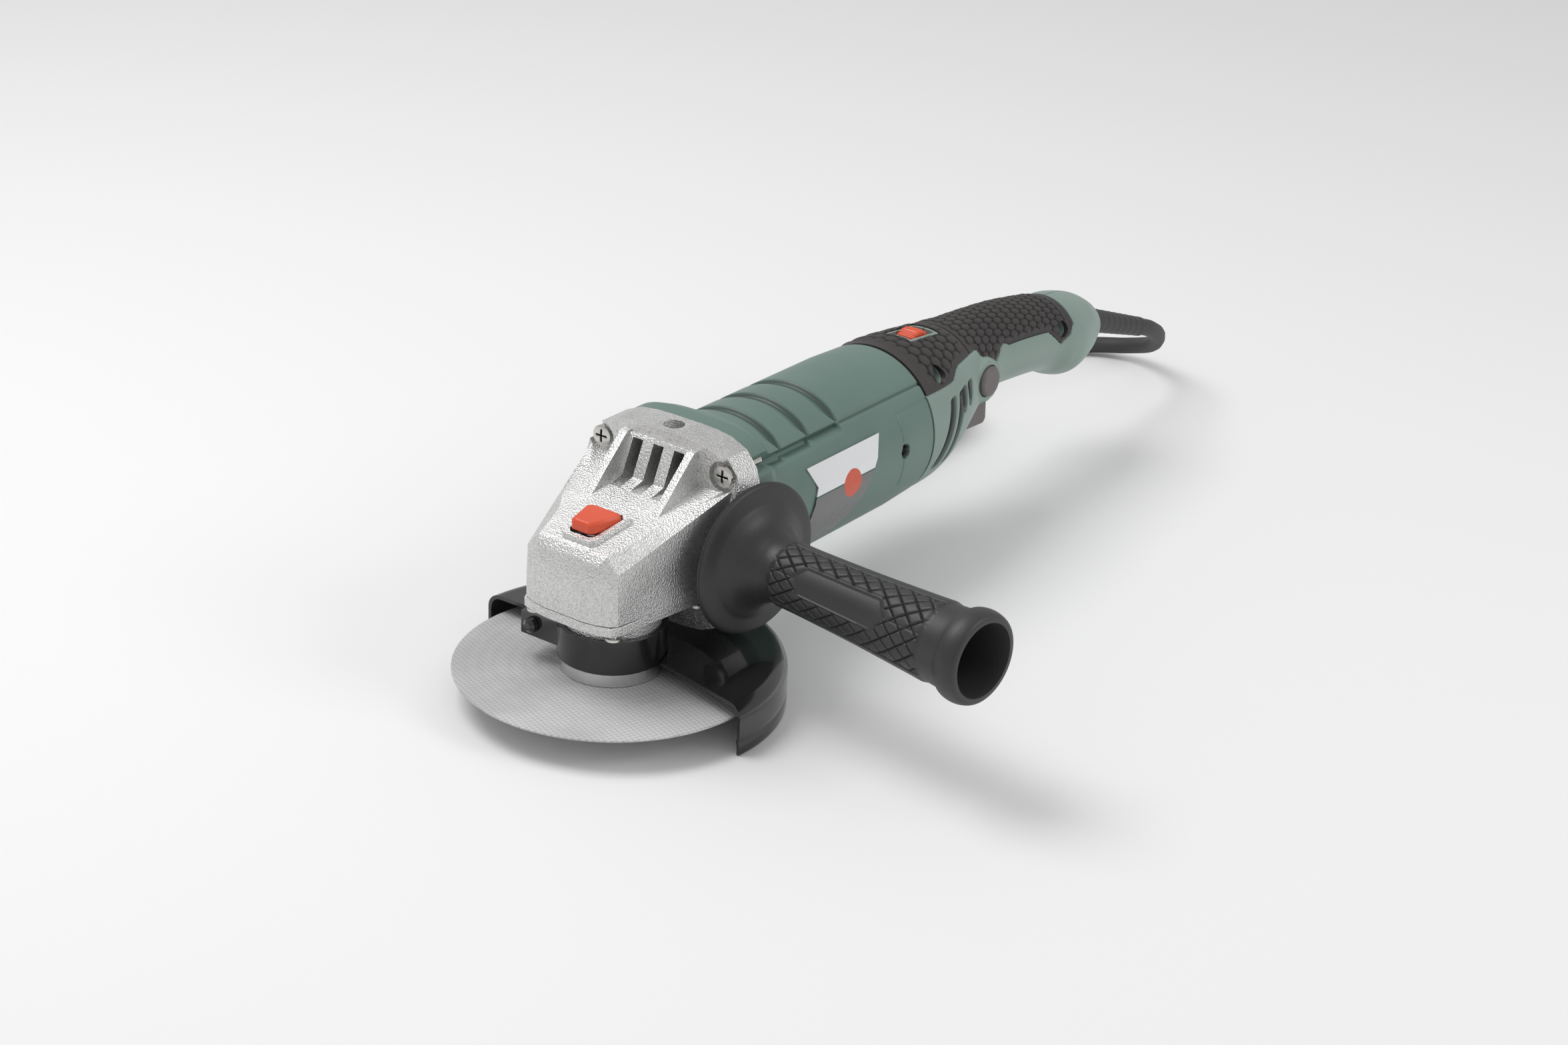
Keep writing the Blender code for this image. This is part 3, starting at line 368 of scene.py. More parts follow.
finishes = {
    "cast_aluminium": finish("castAluminium", (0.66, 0.66, 0.655), 0.36,
        0.9, 1300, 0.0004, 0.08, 0.14, paint=castGrain),
    "green_plastic": finish("barrelGreen", (0.125, 0.195, 0.172), 0.42,
        grain=1600, depth=0.00006, vary=0.05, paint=paintedRecessShade),
    "green_plastic_tail": finish("tailGreen", (0.225, 0.300, 0.268), 0.42,
        grain=1600, depth=0.00006, vary=0.05, paint=paintedRecessShade),
    "grip_rubber": finish("gripRubber", (0.040, 0.035, 0.034), 0.55,
        grain=1300, depth=0.0001, vary=0.2, paint=paintedHollowShade),
    "handle_plastic": finish("handlePlastic", (0.030, 0.030, 0.031), 0.46,
        grain=1200, depth=0.0001, vary=0.15, paint=paintedHollowShade),
    "black_steel": finish("blackEnamel", (0.012, 0.012, 0.013), 0.2,
        grain=300, depth=0.00005, vary=0.2, wear=0.1, coat=0.5),
    "bright_steel": finish("turnedSteel", (0.74, 0.74, 0.74), 0.2,
        1.0, 500, 0.000004, 0.04, paint=brushedRings),
    "zinc_steel": finish("zincSteel", (0.62, 0.61, 0.58), 0.3,
        1.0, 800, 0.00003, 0.1, 0.12, paint=paintedRecessShade),
    "orange_plastic": finish("buttonOrange", (0.72, 0.085, 0.03), 0.36,
        grain=1500, depth=0.00005, vary=0.06),
    "grey_plastic": finish("controlGrey", (0.13, 0.115, 0.115), 0.45,
        grain=1400, depth=0.00007, vary=0.1),
    "abrasive": finish("wheelAbrasive", (0.56, 0.56, 0.56), 0.85,
        grain=1900, depth=0.0002, vary=0.12, paint=wovenPaper),
    "label_film": finish("labelFilm", (0.75, 0.76, 0.77), 0.3,
        grain=400, depth=0.00002, vary=0.03, paint=labelBands),
    "copper": finish("commutatorCopper", (0.55, 0.22, 0.1), 0.3, 1.0, 900, 0.00005, 0.12),
    "winding_varnish": finish("varnishedWire", (0.3, 0.09, 0.04), 0.35,
        grain=900, depth=0.0003, vary=0.2),
    "electrical_steel": finish("laminations", (0.25, 0.25, 0.26), 0.45, 1.0, 900, 0.0001, 0.1),
    "black_plastic": finish("blackPlastic", (0.02, 0.02, 0.02), 0.42,
        grain=1200, depth=0.00006, vary=0.15),
    "carbon": finish("brushCarbon", (0.03, 0.03, 0.03), 0.6, grain=1500, depth=0.0001, vary=0.15),
    "board_resin": finish("boardResin", (0.02, 0.12, 0.04), 0.4,
        grain=700, depth=0.00005, vary=0.15),
    "cord_rubber": finish("leadRubber", (0.035, 0.035, 0.036), 0.6,
        grain=1500, depth=0.00008, vary=0.15),
    "nickel": finish("pinNickel", (0.7, 0.68, 0.62), 0.2, 1.0, 900, 0.00003, 0.06),
}
for part in frame["record"]["subparts"]:
    mesh = frame["nodes"][part["node"]].data
    mesh.materials.clear()
    mesh.materials.append(finishes[part["material_slot"]])
print("materials made")

# Mains lead: the same free run as the solid, then turns of a hank

lead = dict(diameter=8.0, length=2.0, inner=24.0, outer=32.0, tieHalf=4, tieThickness=0.35)
leadRoute = [
    (0, 390, 40), (-1, 404, 34.5), (-6, 421, 25), (-17, 436, 13), (-35, 444, 5),
    (-54, 438, 2), (-69, 418, 1.4), (-77, 390, 1.4), (-80, 360, 1.4),
]


def makeLead(sizes):
    # A hank of stadium turns: three inside, then two outside them, a diameter apart everywhere.
    # It climbs along the far side, and comes down at the near fold and on the last run to the plug
    low, high = (np.array(c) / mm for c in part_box("cord_hank"))
    d, inner, outer = sizes["diameter"], sizes["inner"], sizes["outer"]
    middle, edge = (low[0] + high[0]) / 2, outer + d / 2
    near, far = low[1] + edge, high[1] - edge
    levels = low[2] + d / 2 + d * np.arange(3)

    def stretch(kind, wide, level, change=(0.5, 1.0)):
        # wide and level are (at the start, at the end), changing between two shares of the stretch
        share = np.linspace(0, 1, 13)[:-1]
        s = rampUp(*change, share)
        w, z = wide[0] + (wide[1] - wide[0]) * s, level[0] + (level[1] - level[0]) * s
        turn = math.pi * share
        x = {"down": w, "nearFold": w * np.cos(turn), "up": -w, "farFold": -w * np.cos(turn)}[kind]
        y = {"down": far + (near - far) * share, "nearFold": near - w * np.sin(turn),
             "up": near + (far - near) * share, "farFold": far + w * np.sin(turn)}[kind]
        return np.stack([middle + x, y, z], 1)

    one, two, three = levels
    i, o = (inner, inner), (outer, outer)
    # The lead moves over onto the first run as half a cosine wave
    share = np.linspace(0, 1, 9)[:-1]
    across = middle + inner * (1 - np.cos(math.pi * share)) / 2
    over = np.stack([across, high[1] + 20 - 74 * share, one + 0 * share], 1)
    parts = [np.array(leadRoute, float), over,
             stretch("down", i, (one, one))[2:], stretch("nearFold", i, (one, one)),
             stretch("up", i, (one, two)), stretch("farFold", i, (two, two)),
             stretch("down", i, (two, two)), stretch("nearFold", i, (two, two)),
             stretch("up", i, (two, three)), stretch("farFold", i, (three, three)),
             stretch("down", i, (three, three)), stretch("nearFold", i, (three, three)),
             stretch("up", (inner, outer), (three, three), (0, 0.5)), stretch("farFold", o, (three, three)),
             stretch("down", o, (three, three)), stretch("nearFold", o, (three, two)),
             stretch("up", o, (two, two)), stretch("farFold", o, (two, two)),
             stretch("down", o, (two, one), (0, 0.45))]
    plugBox = [np.array(c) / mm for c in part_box("plug_body")]
    entry = (middle + outer, plugBox[1][1] + 0.3, (plugBox[0][2] + plugBox[1][2]) / 2)
    parts.append([(entry[0], near - 2, one), (entry[0], near - 16, one + 1.5), entry])
    path = np.vstack(parts)
    path = smoothLine(path, len(path) * 3)
    curve = bpy.data.curves.new("mains_lead", "CURVE")
    curve.dimensions, curve.bevel_depth, curve.bevel_resolution = "3D", d / 2 * mm, 4
    curve.use_fill_caps = True
    line = curve.splines.new("POLY")
    line.points.add(len(path) - 1)
    line.points.foreach_set("co", np.column_stack([path * mm, np.ones(len(path))]).astype(np.float32).ravel())
    curve.materials.append(finishes["cord_rubber"])
    piece = addObject("mains_lead", curve)
    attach(piece, "housing")
    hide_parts("cord_tube", "cord_hank")
    # A flat strap round the runs: a rounded rectangle swept to a band
    t = np.linspace(0, 2 * math.pi, 120, endpoint=False)[:, None]
    half, thick = sizes["tieHalf"], sizes["tieThickness"]
    band = np.array([(0.0, -half), (0.0, half), (thick, half), (thick, -half)])
    rise = (high[2] - low[2]) / 2
    r = ((np.abs(np.cos(t)) / (edge + 0.2)) ** 8 + (np.abs(np.sin(t)) / rise) ** 8) ** (-1 / 8)
    r = r + band[:, 0][None]
    ring = np.stack([middle + r * np.cos(t), (near + far) / 2 + band[:, 1][None] + 0 * t,
                     low[2] + rise + r * np.sin(t)], -1)
    tie = makePiece("hank_tie", ring, "black_plastic", "housing")


makeLead(lead)
print("lead made")

# Side handle

sideHandle = dict(base=(40.0, 35.8, 56.5), lean=-6.9, length=117.6, flange=30.6, knurlDepth=0.8,
                  knurls=30, knurlPitch=4.2, knurled=(19.0, 99.0), panel=(36.0, 74.0), panelHalf=0.5,
                  plainStrip=1.12)


def makeSideHandle(s):
    # A closed profile turned about the leaning axis. Diamonds stand out between two crossed sets of
    # grooves, which lie where the sine of either of two slanted angles is near zero
    end, rim = s["length"], s["flange"]
    outside = smoothLine([
        (9, -0.6), (rim - 1.5, 0.2), (rim, 1.2), (rim - 0.5, 2.6), (24, 4), (18, 7.5), (14.2, 13),
        (12.4, 21), (12.8, 45), (13.8, 70), (15.9, 104), (18, 109), (18.5, 113), (17.6, end - 1), (16.2, end),
    ], 230)
    inside = np.array([(14.75, end), (14, end - 3), (12.2, 96), (9, 26), (4.3, 24), (4.3, -0.6)])
    profile = np.vstack([outside, inside])
    steps = 300
    grid = turnProfile(profile, steps, "X")
    t = np.linspace(0, 2 * math.pi, steps, endpoint=False)[:, None]
    h = profile[:, 1][None]
    around, along = t * s["knurls"] / 2, h * math.pi / s["knurlPitch"]
    u, v = around + along, around - along
    low, high = s["knurled"]
    grown = rampUp(low, low + 3, h) * (1 - rampUp(high - 3, high, h))
    grown = grown * (np.arange(len(profile)) < len(outside))
    first, last = s["panel"]
    facing = np.abs((t - math.radians(150) + math.pi / 2) % math.pi - math.pi / 2)
    pointed = s["panelHalf"] * np.clip(np.minimum(h - first + 6, last + 6 - h) / 6, 0, 1)
    flat = 1 - rampUp(-0.04, 0.04, facing - pointed)
    diamonds = rampUp(0.04, 0.3, np.minimum(np.abs(np.sin(u / 2)), np.abs(np.sin(v / 2))))
    strip = rampUp(s["plainStrip"], s["plainStrip"] + 0.04, facing)
    diamonds = np.maximum(diamonds * (1 - bump(facing - s["plainStrip"] + 0.03, 0.03)), strip)
    raised = s["knurlDepth"] * grown * (1 - flat) * diamonds
    raised = raised + 0.7 * grown * bump(facing - pointed + 0.05, 0.035) * (pointed > 0.02)
    raised = raised - 0.35 * bump(h - 4, 0.5)
    grid[..., 1] += raised * np.cos(t)
    grid[..., 2] += raised * np.sin(t)
    lean = math.radians(s["lean"])
    x, y = grid[..., 0].copy(), grid[..., 1].copy()
    grid[..., 0] = x * math.cos(lean) - y * math.sin(lean) + s["base"][0]
    grid[..., 1] = x * math.sin(lean) + y * math.cos(lean) + s["base"][1]
    grid[..., 2] += s["base"][2]
    # marks: the knurl grooves, painted dark as shade
    marks = grown * (1 - flat) * (1 - diamonds)
    makePiece("side_grip", grid, "handle_plastic", "housing", ["side_handle"], marks=marks)


makeSideHandle(sideHandle)
print("side handle made")

# Motor barrel

barrel = dict(steps=300, rows=300, scoops=(74.0, 92.6, 111.8), scoopDepth=1.7, seam=44.0, seamDepth=0.8,
              panel=(145.7, -23.0, 32.0), screwHole=(147.0, 63.5, 2.6), bore=31.2, end=169.5,
              lineDepth=0.5, lineWidth=0.45, holeDepth=2.6)


def makeBarrel(s):
    # Superellipse sections, r = ((|cos| / wide)^power + (|sin| / tall)^power)^(-1 / power), that turn
    # from a rounded square to a circle, less the depth of each groove
    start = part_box("motor_housing")[0].y / mm
    # Each station is its place along Y, half its width, half its height and the power
    stations = np.array([
        (start, 37.4, 39.4, 4), (52, 37.4, 39.4, 4), (56, 36.8, 38.4, 3.4), (60, 35.6, 36.4, 2.6),
        (65, 34.8, 35, 2.1), (72, 34.6, 34.6, 2), (150, 34.3, 34.3, 2), (168, 33.4, 33.4, 2),
        (s["end"], 32.6, 32.6, 2),
    ])
    y = np.linspace(start, s["end"], s["rows"])
    wide, tall, power = (np.interp(y, stations[:, 0], stations[:, k])[:, None] for k in (1, 2, 3))
    t = np.linspace(0, 2 * math.pi, s["steps"], endpoint=False)[None]
    r = ((np.abs(np.cos(t)) / wide) ** power + (np.abs(np.sin(t)) / tall) ** power) ** (-1 / power)
    y = y[:, None] + 0 * t
    degrees = np.degrees(np.arctan2(np.sin(t), np.cos(t)))
    over = np.abs(degrees - 90)  # angle from straight up
    edge = 90 - s["seam"]
    seam = bump((over - edge) * 0.6, 0.75) * rampUp(70, 74, y)
    depth, shaded = s["seamDepth"] * seam, 0.16 * seam
    for place in s["scoops"]:
        # a long ramp down, a steep wall facing forwards, and a pointed tail below the seam
        narrow = np.clip((edge + 2 - over) / 14, 0.1, 1)
        fall = rampUp(-7.0 * narrow, -1.6, y - place) * (1 - rampUp(-1.2, 0.4, y - place))
        span = 1 - rampUp(edge + 1, edge + 9, over)
        depth = depth + s["scoopDepth"] * fall * span
        shaded = np.maximum(shaded, 0.24 * bump(y - place + 1.0, 1.5 * narrow) * span)
    front, lowAngle, highAngle = s["panel"]
    inBand = rampUp(lowAngle - 1, lowAngle, degrees) * (1 - rampUp(highAngle, highAngle + 1, degrees))
    depth = depth + s["lineDepth"] * bump(y - front, s["lineWidth"]) * inBand
    for angle in (lowAngle, highAngle):
        line = s["lineDepth"] * bump((degrees - angle) * 0.6, s["lineWidth"])
        depth = depth + line * rampUp(front - 0.5, front, y)
    depth = depth + 0.4 * bump((degrees + 80) * 0.6, 0.4)
    holeY, holeZ, holeR = s["screwHole"]
    away = np.hypot(y - holeY, motorHeight + r * np.sin(t) - holeZ) + 99 * (np.cos(t) < 0)
    hole = 1 - rampUp(holeR - 0.3, holeR + 0.3, away)
    depth = depth + s["holeDepth"] * hole
    outer = np.stack([(r - depth) * np.cos(t), y, motorHeight + (r - depth) * np.sin(t)], -1)
    bore = np.array([(29.6, s["end"]), (29.6, 164), (s["bore"], 160), (s["bore"], start)])
    x, z = bore[:, :1] * np.cos(t), motorHeight + bore[:, :1] * np.sin(t)
    inner = np.stack([x, bore[:, 1:] + 0 * t, z], -1)
    # marks: the screw hole painted near black, and the scoops and seam painted darker, all as shade
    marks = np.vstack([np.maximum(hole, shaded), np.zeros(inner.shape[:2])])
    grid = np.vstack([outer, inner])
    makePiece("barrel", grid, "green_plastic", "housing", ["motor_housing"], marks=marks)


makeBarrel(barrel)
print("barrel made")

# Rear handle: two shells and a rubber cover

tail = dict(
    stations=(
        (169.8, 61, 33.2), (185, 61.2, 32.6), (200, 62.9, 29.5), (215, 66, 25), (230, 69, 20.6),
        (245, 70.3, 18.4), (268, 68.5, 17.9), (291, 65, 17.5), (303, 61.2, 18.9), (312, 59.6, 19.4),
        (324, 59.2, 16.4), (333, 58.4, 12.6), (339, 57.2, 9.6), (342, 56.2, 7.6),
    ),
    wall=2.6, gripEnd=302.6, gripThickness=1.7, screws=((184.0, 83.5), (294.0, 70.5)),
    lockOn=(224.0, 68.5),
    window=((-5.4, 5.4), (188.7, 206.2), (74, 110)),
    frame=((-7.4, 7.4), (186.7, 208.4), (74, 110)),
    mouth=((-7.3, 7.3), (209, 254), (30, 58)),
    scale=(4.4, 5.6), scaleHeight=0.7, bossRadius=9.8, bossFace=23.4,
    start=169.8, end=342, longSlots=(0, 8.5), shortSlots=(198.0, 204.5), slotDepth=2.1,
    screwHole=3.4, gripHole=3.6, lockOnHole=7.2,
)


def gripEdge(y):
    # The cover's lower edge in degrees: level, with a tongue at the button and a tab at the rear screw
    edge = 33 + 8 * rampUp(190, 202, y) - 32 * rampUp(221, 227, y) * (1 - rampUp(236, 247, y))
    edge = edge - 21 * rampUp(238, 250, y) - 22 * np.clip(1 - np.abs(y - 292) / 10, 0, 1)
    return edge + 8 * rampUp(298, 303, y)


def tailSurface(y, degrees, sunk):
    # Circles whose height and radius follow the stations (Y, Z of the centre, radius), less sunk
    line = smoothLine(tail["stations"], 600)
    z, r = np.interp(y, line[:, 0], line[:, 1]), np.interp(y, line[:, 0], line[:, 2])
    t = np.radians(degrees)
    return np.stack([(r - sunk) * np.cos(t), y, z + (r - sunk) * np.sin(t)], -1)


def makeShell(side):
    # Outside from the bottom to the top, sunk under the cover and at each slot, then the inside run back
    rows, columns = 260, 90
    y = np.linspace(tail["start"], tail["end"], rows)[:, None] + np.zeros((1, columns))
    a = np.linspace(-89.4, 89.4, columns)[None] + 0 * y
    covered = rampUp(-0.3, 1.2, a - gripEdge(y)) * (1 - rampUp(tail["gripEnd"], tail["gripEnd"] + 0.6, y))
    bare = tailSurface(y, a, 0)[..., 0] < tail["frame"][0][1] - 0.1
    first, last = tail["frame"][1]
    covered = covered * (1 - bare * (a > 0) * (y > first + 0.1) * (y < last - 0.1))
    slots = 0 * y
    for shift in tail["longSlots"]:
        way = np.interp(a, (-30, 24), (176.5, 188)) + shift
        slots = np.maximum(slots, bump(y - way, 1.9) * rampUp(-31, -27, a) * (1 - rampUp(20, 24, a)))
    for place in tail["shortSlots"]:
        wedge = bump(y - place - (a - 14) * 0.12, 0.9 + 0.05 * a)
        slots = np.maximum(slots, wedge * rampUp(3, 7, a) * (1 - rampUp(20, 25, a)))
    outer = tailSurface(y, a, covered * (tail["gripThickness"] + 0.25) + slots * tail["slotDepth"])
    if side > 0:
        away = np.hypot(y - tail["lockOn"][0], outer[..., 2] - tail["lockOn"][1]) + 99 * (a > 60)
        boss = 1 - rampUp(tail["bossRadius"] - 0.7, tail["bossRadius"] + 0.9, away)
        outer[..., 0] += (tail["bossFace"] - outer[..., 0]) * boss
    inner = tailSurface(y, a, np.minimum(tail["wall"] + 2.2, np.interp(y, (330, 342), (4.8, 3.0))))[:, ::-1]
    grid = np.concatenate([outer, inner], 1)
    grid[..., 0] *= side
    # marks: the slots, painted near black as shade
    marks = np.concatenate([slots, 0 * slots], 1)
    name = "right" if side > 0 else "left"
    shell = makePiece(f"tail_shell_{name}", grid, "green_plastic_tail", "housing", [f"handle_shell_{name}"],
                      (False, True), True, marks)
    tools = [boxTool(*tail["window"]), boxTool(*tail["mouth"])]
    if side > 0:
        tools += [rodTool(tail["screwHole"], (8, 40), *place) for place in tail["screws"]]
        tools.append(rodTool(tail["lockOnHole"], (8, 40), *tail["lockOn"]))
    carve(shell, tools)


def makeGrip():
    # Staggered scales: each cell rises towards its middle, and they fade out at the edges and the seam
    rows, columns, seam = 260, 165, 215.0
    y = np.linspace(170.2, tail["gripEnd"], rows)[:, None] + np.zeros((1, columns))
    share = np.linspace(0, 1, columns)[None]
    low = gripEdge(y)
    a = low + (180 - 2 * low) * share
    wide, long = tail["scale"]
    row = np.floor(y / long)
    across = (np.radians(a) * 24 / wide + 0.5 * (row % 2)) % 1 - 0.5
    down = (y / long) % 1 - 0.5
    scale = np.clip(1 - 3.2 * across**2 - 3.2 * down**2, 0, 1) ** 0.6
    rim = np.minimum(a - low, 180 - low - a)
    inside = rampUp(4, 9, rim) * rampUp(174, 178, y) * (1 - rampUp(296, 300, y))
    inside = inside * rampUp(1.5, 3.5, np.abs(y - seam))
    rounded = 0.5 * (1 - rampUp(0, 2.0, rim)) + 0.4 * bump(y - seam, 0.6)
    outer = tailSurface(y, a, rounded - tail["scaleHeight"] * scale * inside)
    # marks: the hollows between the scales and the seam groove, painted darker as shade
    marks = np.concatenate([(1 - scale) * inside + bump(y - seam, 0.6), 0 * y], 1)
    inner = tailSurface(y, a, tail["gripThickness"])[:, ::-1]
    grid = np.concatenate([outer, inner], 1)
    cover = makePiece("grip_skin", grid, "grip_rubber", "housing", ["grip_cover"], (False, True), True, marks)
    holes = [rodTool(tail["gripHole"], (5, 40), *place) for place in tail["screws"]]
    carve(cover, [boxTool(*tail["frame"])] + holes)


makeShell(1)
makeShell(-1)
makeGrip()
print("rear handle made")

# Wheel guard

guard = dict(radius=69.0, top=17.8, sheet=1.6, bottom=-3.0, bend=6.0, turn=-5.0, inner=22.0, crease=2.5,
             edgeAway=5.2, edgeRadius=17.3, edgeFall=0.116)


def makeGuard(s):
    # A bent sheet: the flat plate, a quarter-round bend and the skirt, swept over half a turn less the
    # angle at each end whose sine is the edge's distance from the middle line over the radius
    bow = np.radians(np.linspace(90, 0, 16))
    cr, cz, small = s["radius"] - s["bend"], s["top"] - s["bend"], s["bend"] - s["sheet"]
    plate = np.linspace(s["inner"], cr, 30)[:-1]
    skirt = np.linspace(cz, s["bottom"] + 0.5, 20)[1:]
    outside = np.vstack([np.column_stack([plate, plate * 0 + s["top"]]),
                         np.column_stack([cr + s["bend"] * np.cos(bow), cz + s["bend"] * np.sin(bow)]),
                         np.column_stack([s["radius"] - 0.5 * bump(skirt - s["crease"], 1.0), skirt]),
                         [(s["radius"] - 0.4, s["bottom"])]])
    inset = outside.copy()
    flat, bent = len(plate), len(plate) + len(bow)
    inset[:flat, 1] -= s["sheet"]
    inset[flat:bent] = np.column_stack([cr + small * np.cos(bow), cz + small * np.sin(bow)])
    inset[bent:, 0] -= s["sheet"] - 0.2
    inset[-1] = (s["radius"] - s["sheet"] + 0.2, s["bottom"])
    profile = np.vstack([outside, inset[::-1]])
    away = s["edgeAway"] - (profile[:, 0] - s["edgeRadius"]) * s["edgeFall"]
    start = np.arcsin(away / profile[:, 0])[None]
    share = np.linspace(0, 1, 150)[:, None]
    t = start + (math.pi - 2 * start) * share + math.radians(s["turn"])
    r, z = profile[:, 0][None], profile[:, 1][None] + 0 * t
    grid = np.stack([r * np.cos(t), r * np.sin(t), z], -1)
    makePiece("guard_sheet", grid, "black_steel", "guard", ["wheel_guard"], (False, True), True)


makeGuard(guard)
print("guard made")

# Cross-head screws

screw = dict(recess=0.85, armWidth=0.38, dome=1.4, rim=1.6, shank=1.6, steps=64, rings=34,
             corner=4.3, plate=3.2, grip=2.9)


def makeScrew(s, name, node, axis, out, radius):
    # A domed head whose crossed recess is the nearer of two crossing troughs, on a plain shank
    low, high = (np.array(c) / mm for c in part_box(node))
    k = "XYZ".index(axis)
    centre = (low + high) / 2
    tip, foot = (high[k], low[k]) if out > 0 else (low[k], high[k])
    steps = s["steps"]
    t = np.linspace(0, 2 * math.pi, steps, endpoint=False)[:, None]
    r = np.linspace(0, radius, s["rings"])[None]
    dome = s["dome"] * (1 - np.sqrt(np.clip(1 - (r / radius * 0.8) ** 2, 0, 1)))
    a, b = np.abs(r * np.cos(t)), np.abs(r * np.sin(t))
    arms = np.maximum(bump(a, s["armWidth"]), bump(b, s["armWidth"]))
    arms = arms * (1 - rampUp(radius * 0.55, radius * 0.7, r))
    sunk = dome + s["recess"] * arms
    rings, length = [(r + 0 * t, tip - out * sunk)], abs(tip - foot)
    for size, fall in ((radius, s["rim"]), (s["shank"], s["rim"]), (s["shank"], length), (0, length)):
        rings.append((np.full((steps, 1), float(size)), np.full((steps, 1), tip - out * fall)))
    # marks: the crossed recess, painted near black as shade
    marks = np.hstack([arms, np.zeros((steps, 4))])
    across, height = (np.hstack([ring[i] for ring in rings]) for i in (0, 1))
    place = {"X": (height, centre[1] + across * np.cos(t), centre[2] + across * np.sin(t)),
             "Y": (centre[0] + across * np.cos(t), height, centre[2] + across * np.sin(t)),
             "Z": (centre[0] + across * np.cos(t), centre[1] + across * np.sin(t), height)}[axis]
    makePiece(name, np.stack(place, -1), "zinc_steel", "housing", [node], (True, False), marks=marks)


for i in range(1, 5):
    makeScrew(screw, f"corner_screw_{i}", f"case_screw_{i}", "Y", -1, screw["corner"])
    makeScrew(screw, f"plate_screw_{i}", f"cover_screw_{i}", "Z", -1, screw["plate"])
for end in ("front", "rear"):
    makeScrew(screw, f"grip_screw_{end}", f"handle_screw_{end}", "X", 1, screw["grip"])
print("screws made")

# Cast and moulded parts get softened edges


def softened(name, node, body, width, segments=2):
    # A copy of the solid, its triangles merged and flat neighbours joined, with its edges rounded
    piece = addObject(name, frame["nodes"][node].data.copy())
    work = bmesh.new()
    work.from_mesh(piece.data)
    bmesh.ops.remove_doubles(work, verts=work.verts, dist=2e-6)
    bmesh.ops.dissolve_limit(work, angle_limit=math.radians(1), verts=work.verts, edges=work.edges)
    work.to_mesh(piece.data)
    work.free()
    piece.data.shade_smooth()
    piece.data.set_sharp_from_angle(angle=math.radians(30))
    step = piece.modifiers.new("edges", "BEVEL")
    step.width, step.segments, step.limit_method = width * mm, segments, "ANGLE"
    step.angle_limit, step.use_clamp_overlap, step.harden_normals = math.radians(28), True, True
    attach(piece, body)
    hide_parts(node)


softened("cast_case", "gear_case", "housing", 1.1, 3)
softened("cast_cover", "spindle_cover", "housing", 0.4)
softened("orange_button", "lock_button", "lock_button", 0.6, 3)
softened("grey_trigger", "trigger", "trigger", 1.2, 3)
softened("grey_lock_on", "lock_on_button", "lock_on_button", 0.4)
softened("clamp_ring", "guard_band", "guard", 0.3)
print("edges softened")

# Return spring under the lock button


def makeSpring():
    # A copy of the coil with its doubled points merged, carried by the housing
    piece = addObject("return_spring", frame["nodes"]["lock_spring"].data.copy())
    work = bmesh.new()
    work.from_mesh(piece.data)
    bmesh.ops.remove_doubles(work, verts=work.verts, dist=2e-6)
    work.to_mesh(piece.data)
    work.free()
    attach(piece, "housing")
    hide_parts("lock_spring")
    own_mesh(piece)


makeSpring()
print("spring made")

# Wheel, dial and sleeve

wheel = dict(bore=11.2, round=0.3, skin=0.06, ripple=1.1, rings=60, steps=220)
dial = dict(bore=2.3, ridges=24, ridgeDepth=0.45, steps=216)
sleeve = dict(start=(0, 341.5, 57.2), end=(0, 391.0, 39.6), radius=5.75, taper=1.2, rings=9,
              ringDepth=0.15, steps=64)


def makeWheel(s):
    # A thin flat ring with rounded rims, its faces faintly waved by the sine of the radius
    low, high = (np.array(c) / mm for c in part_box("cutting_disc"))
    edge, top, bottom = high[0], high[2], low[2]
    radii = np.linspace(s["bore"], edge - 0.2, s["rings"])
    ripple = s["skin"] * np.sin(radii * s["ripple"])
    upper = np.column_stack([radii, top - s["skin"] + ripple])
    lower = np.column_stack([radii, bottom + s["skin"] + ripple])[::-1]
    profile = np.vstack([upper, [(edge, top - s["round"]), (edge, bottom + s["round"])], lower])
    makePiece("wheel", turnProfile(profile, s["steps"]), "abrasive", "spindle", ["cutting_disc"])


def makeDial(s):
    # A wheel with rounded finger ridges round its rim
    low, high = (np.array(c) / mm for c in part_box("speed_dial"))
    centre, radius, half = (low + high) / 2, (high[1] - low[1]) / 2, (high[0] - low[0]) / 2
    profile = smoothLine([(s["bore"], -half), (radius - 1.2, -half), (radius - 0.2, -half + 1), (radius, 0),
                          (radius - 0.2, half - 1), (radius - 1.2, half), (s["bore"], half)], 50)
    grid = turnProfile(profile, s["steps"], "X")
    t = np.linspace(0, 2 * math.pi, s["steps"], endpoint=False)[:, None]
    cut = s["ridgeDepth"] * (0.5 + 0.5 * np.cos(t * s["ridges"]))
    cut = cut * rampUp(radius - 2, radius - 0.6, profile[:, 0])[None]
    grid[..., 1] -= cut * np.cos(t)
    grid[..., 2] -= cut * np.sin(t)
    makePiece("dial_wheel", grid + centre, "orange_plastic", "speed_dial", ["speed_dial"])


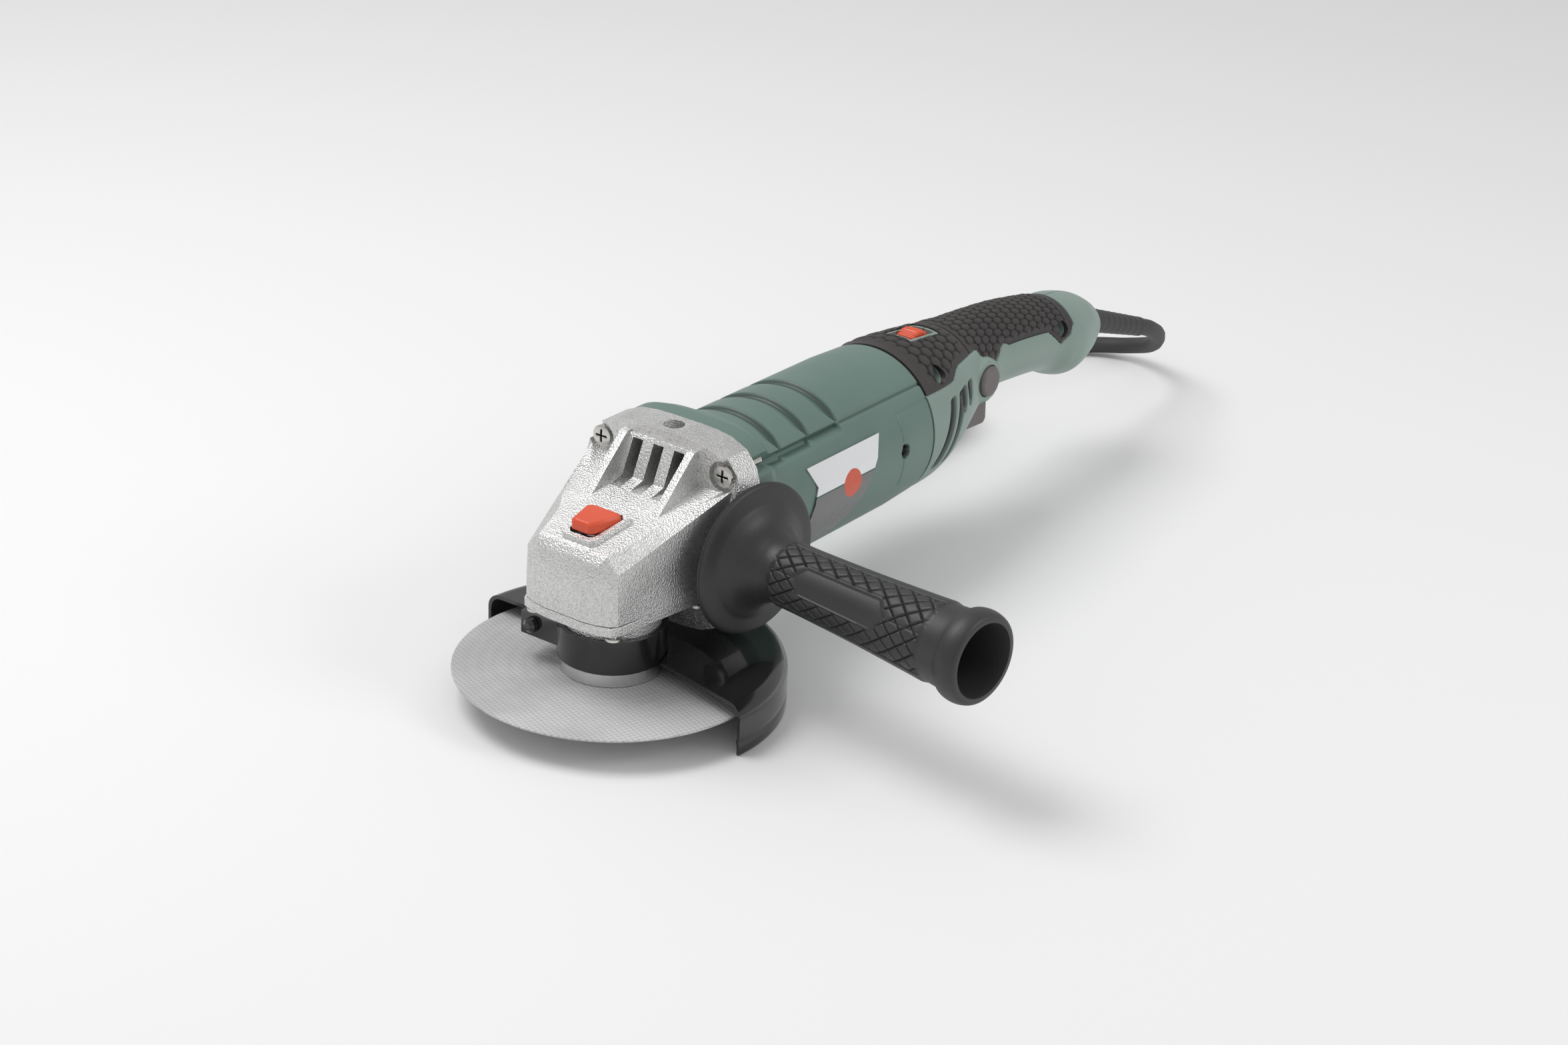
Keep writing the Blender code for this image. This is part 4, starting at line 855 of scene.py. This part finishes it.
def makeSleeve(s):
    # A tapered tube round a straight line, less shallow rings that follow a cosine. It runs from
    # just inside the shells to a little past the lead's first point
    start, end = np.array(s["start"]), np.array(s["end"])
    along = (end - start) / np.linalg.norm(end - start)
    side = np.array((1.0, 0, 0))
    rise = np.cross(side, along)
    share = np.linspace(0, 1, 120)[None, :, None]
    t = np.linspace(0, 2 * math.pi, s["steps"], endpoint=False)[:, None, None]
    wave = 0.5 + 0.5 * np.cos(share * 2 * math.pi * s["rings"])
    r = s["radius"] - s["taper"] * share - s["ringDepth"] * wave * (share > 0.12) * (share < 0.94)
    grid = start + share * (end - start) + r * (np.cos(t) * side + np.sin(t) * rise)
    tips = [np.repeat(np.array(p)[None, None], s["steps"], 0) for p in (start, end)]
    grid = np.concatenate([tips[0], grid, tips[1]], 1)
    makePiece("lead_sleeve", grid, "cord_rubber", "housing", ["cord_guard"], (True, False))


makeWheel(wheel)
makeDial(dial)
makeSleeve(sleeve)
print("wheel, dial and sleeve made")

# Floor and lights

studio = dict(
    floor=(0.88, 0.88, 0.88), floorSize=6.0, world=0.55,
    lamps=((-0.6, -0.2, 1.3, 10.5, 0.8), (1.3, 0.5, 0.9, 5, 0.6)),  # place, power and width
)


def makeStudio(s):
    floor = bpy.data.meshes.new("floor")
    size, level = s["floorSize"], floorLevel - 0.00005
    corners = [(-size, -size, level), (size, -size, level), (size, size, level), (-size, size, level)]
    floor.from_pydata(corners, [], [(0, 1, 2, 3)])
    made = bpy.data.materials.new("floorPaint")
    made.use_nodes = True
    shader = made.node_tree.nodes["Principled BSDF"]
    shader.inputs["Base Color"].default_value = (*s["floor"], 1)
    shader.inputs["Roughness"].default_value = 0.7
    floor.materials.append(made)
    piece = addObject("floor", floor)
    world = bpy.data.worlds.new("studio")
    world.use_nodes = True
    world.node_tree.nodes["Background"].inputs["Color"].default_value = (1, 1, 1, 1)
    world.node_tree.nodes["Background"].inputs["Strength"].default_value = s["world"]
    bpy.context.scene.world = world
    bpy.context.scene.view_settings.view_transform = "Standard"
    for x, y, z, power, across in s["lamps"]:
        lamp = bpy.data.lights.new("softbox", "AREA")
        lamp.energy, lamp.size = power, across
        light = addObject("softbox", lamp)
        light.location = (x, y, z)
        light.rotation_euler = (Vector((0, 0.1, 0.03)) - light.location).to_track_quat("-Z", "Y").to_euler()


makeStudio(studio)
print("studio made")
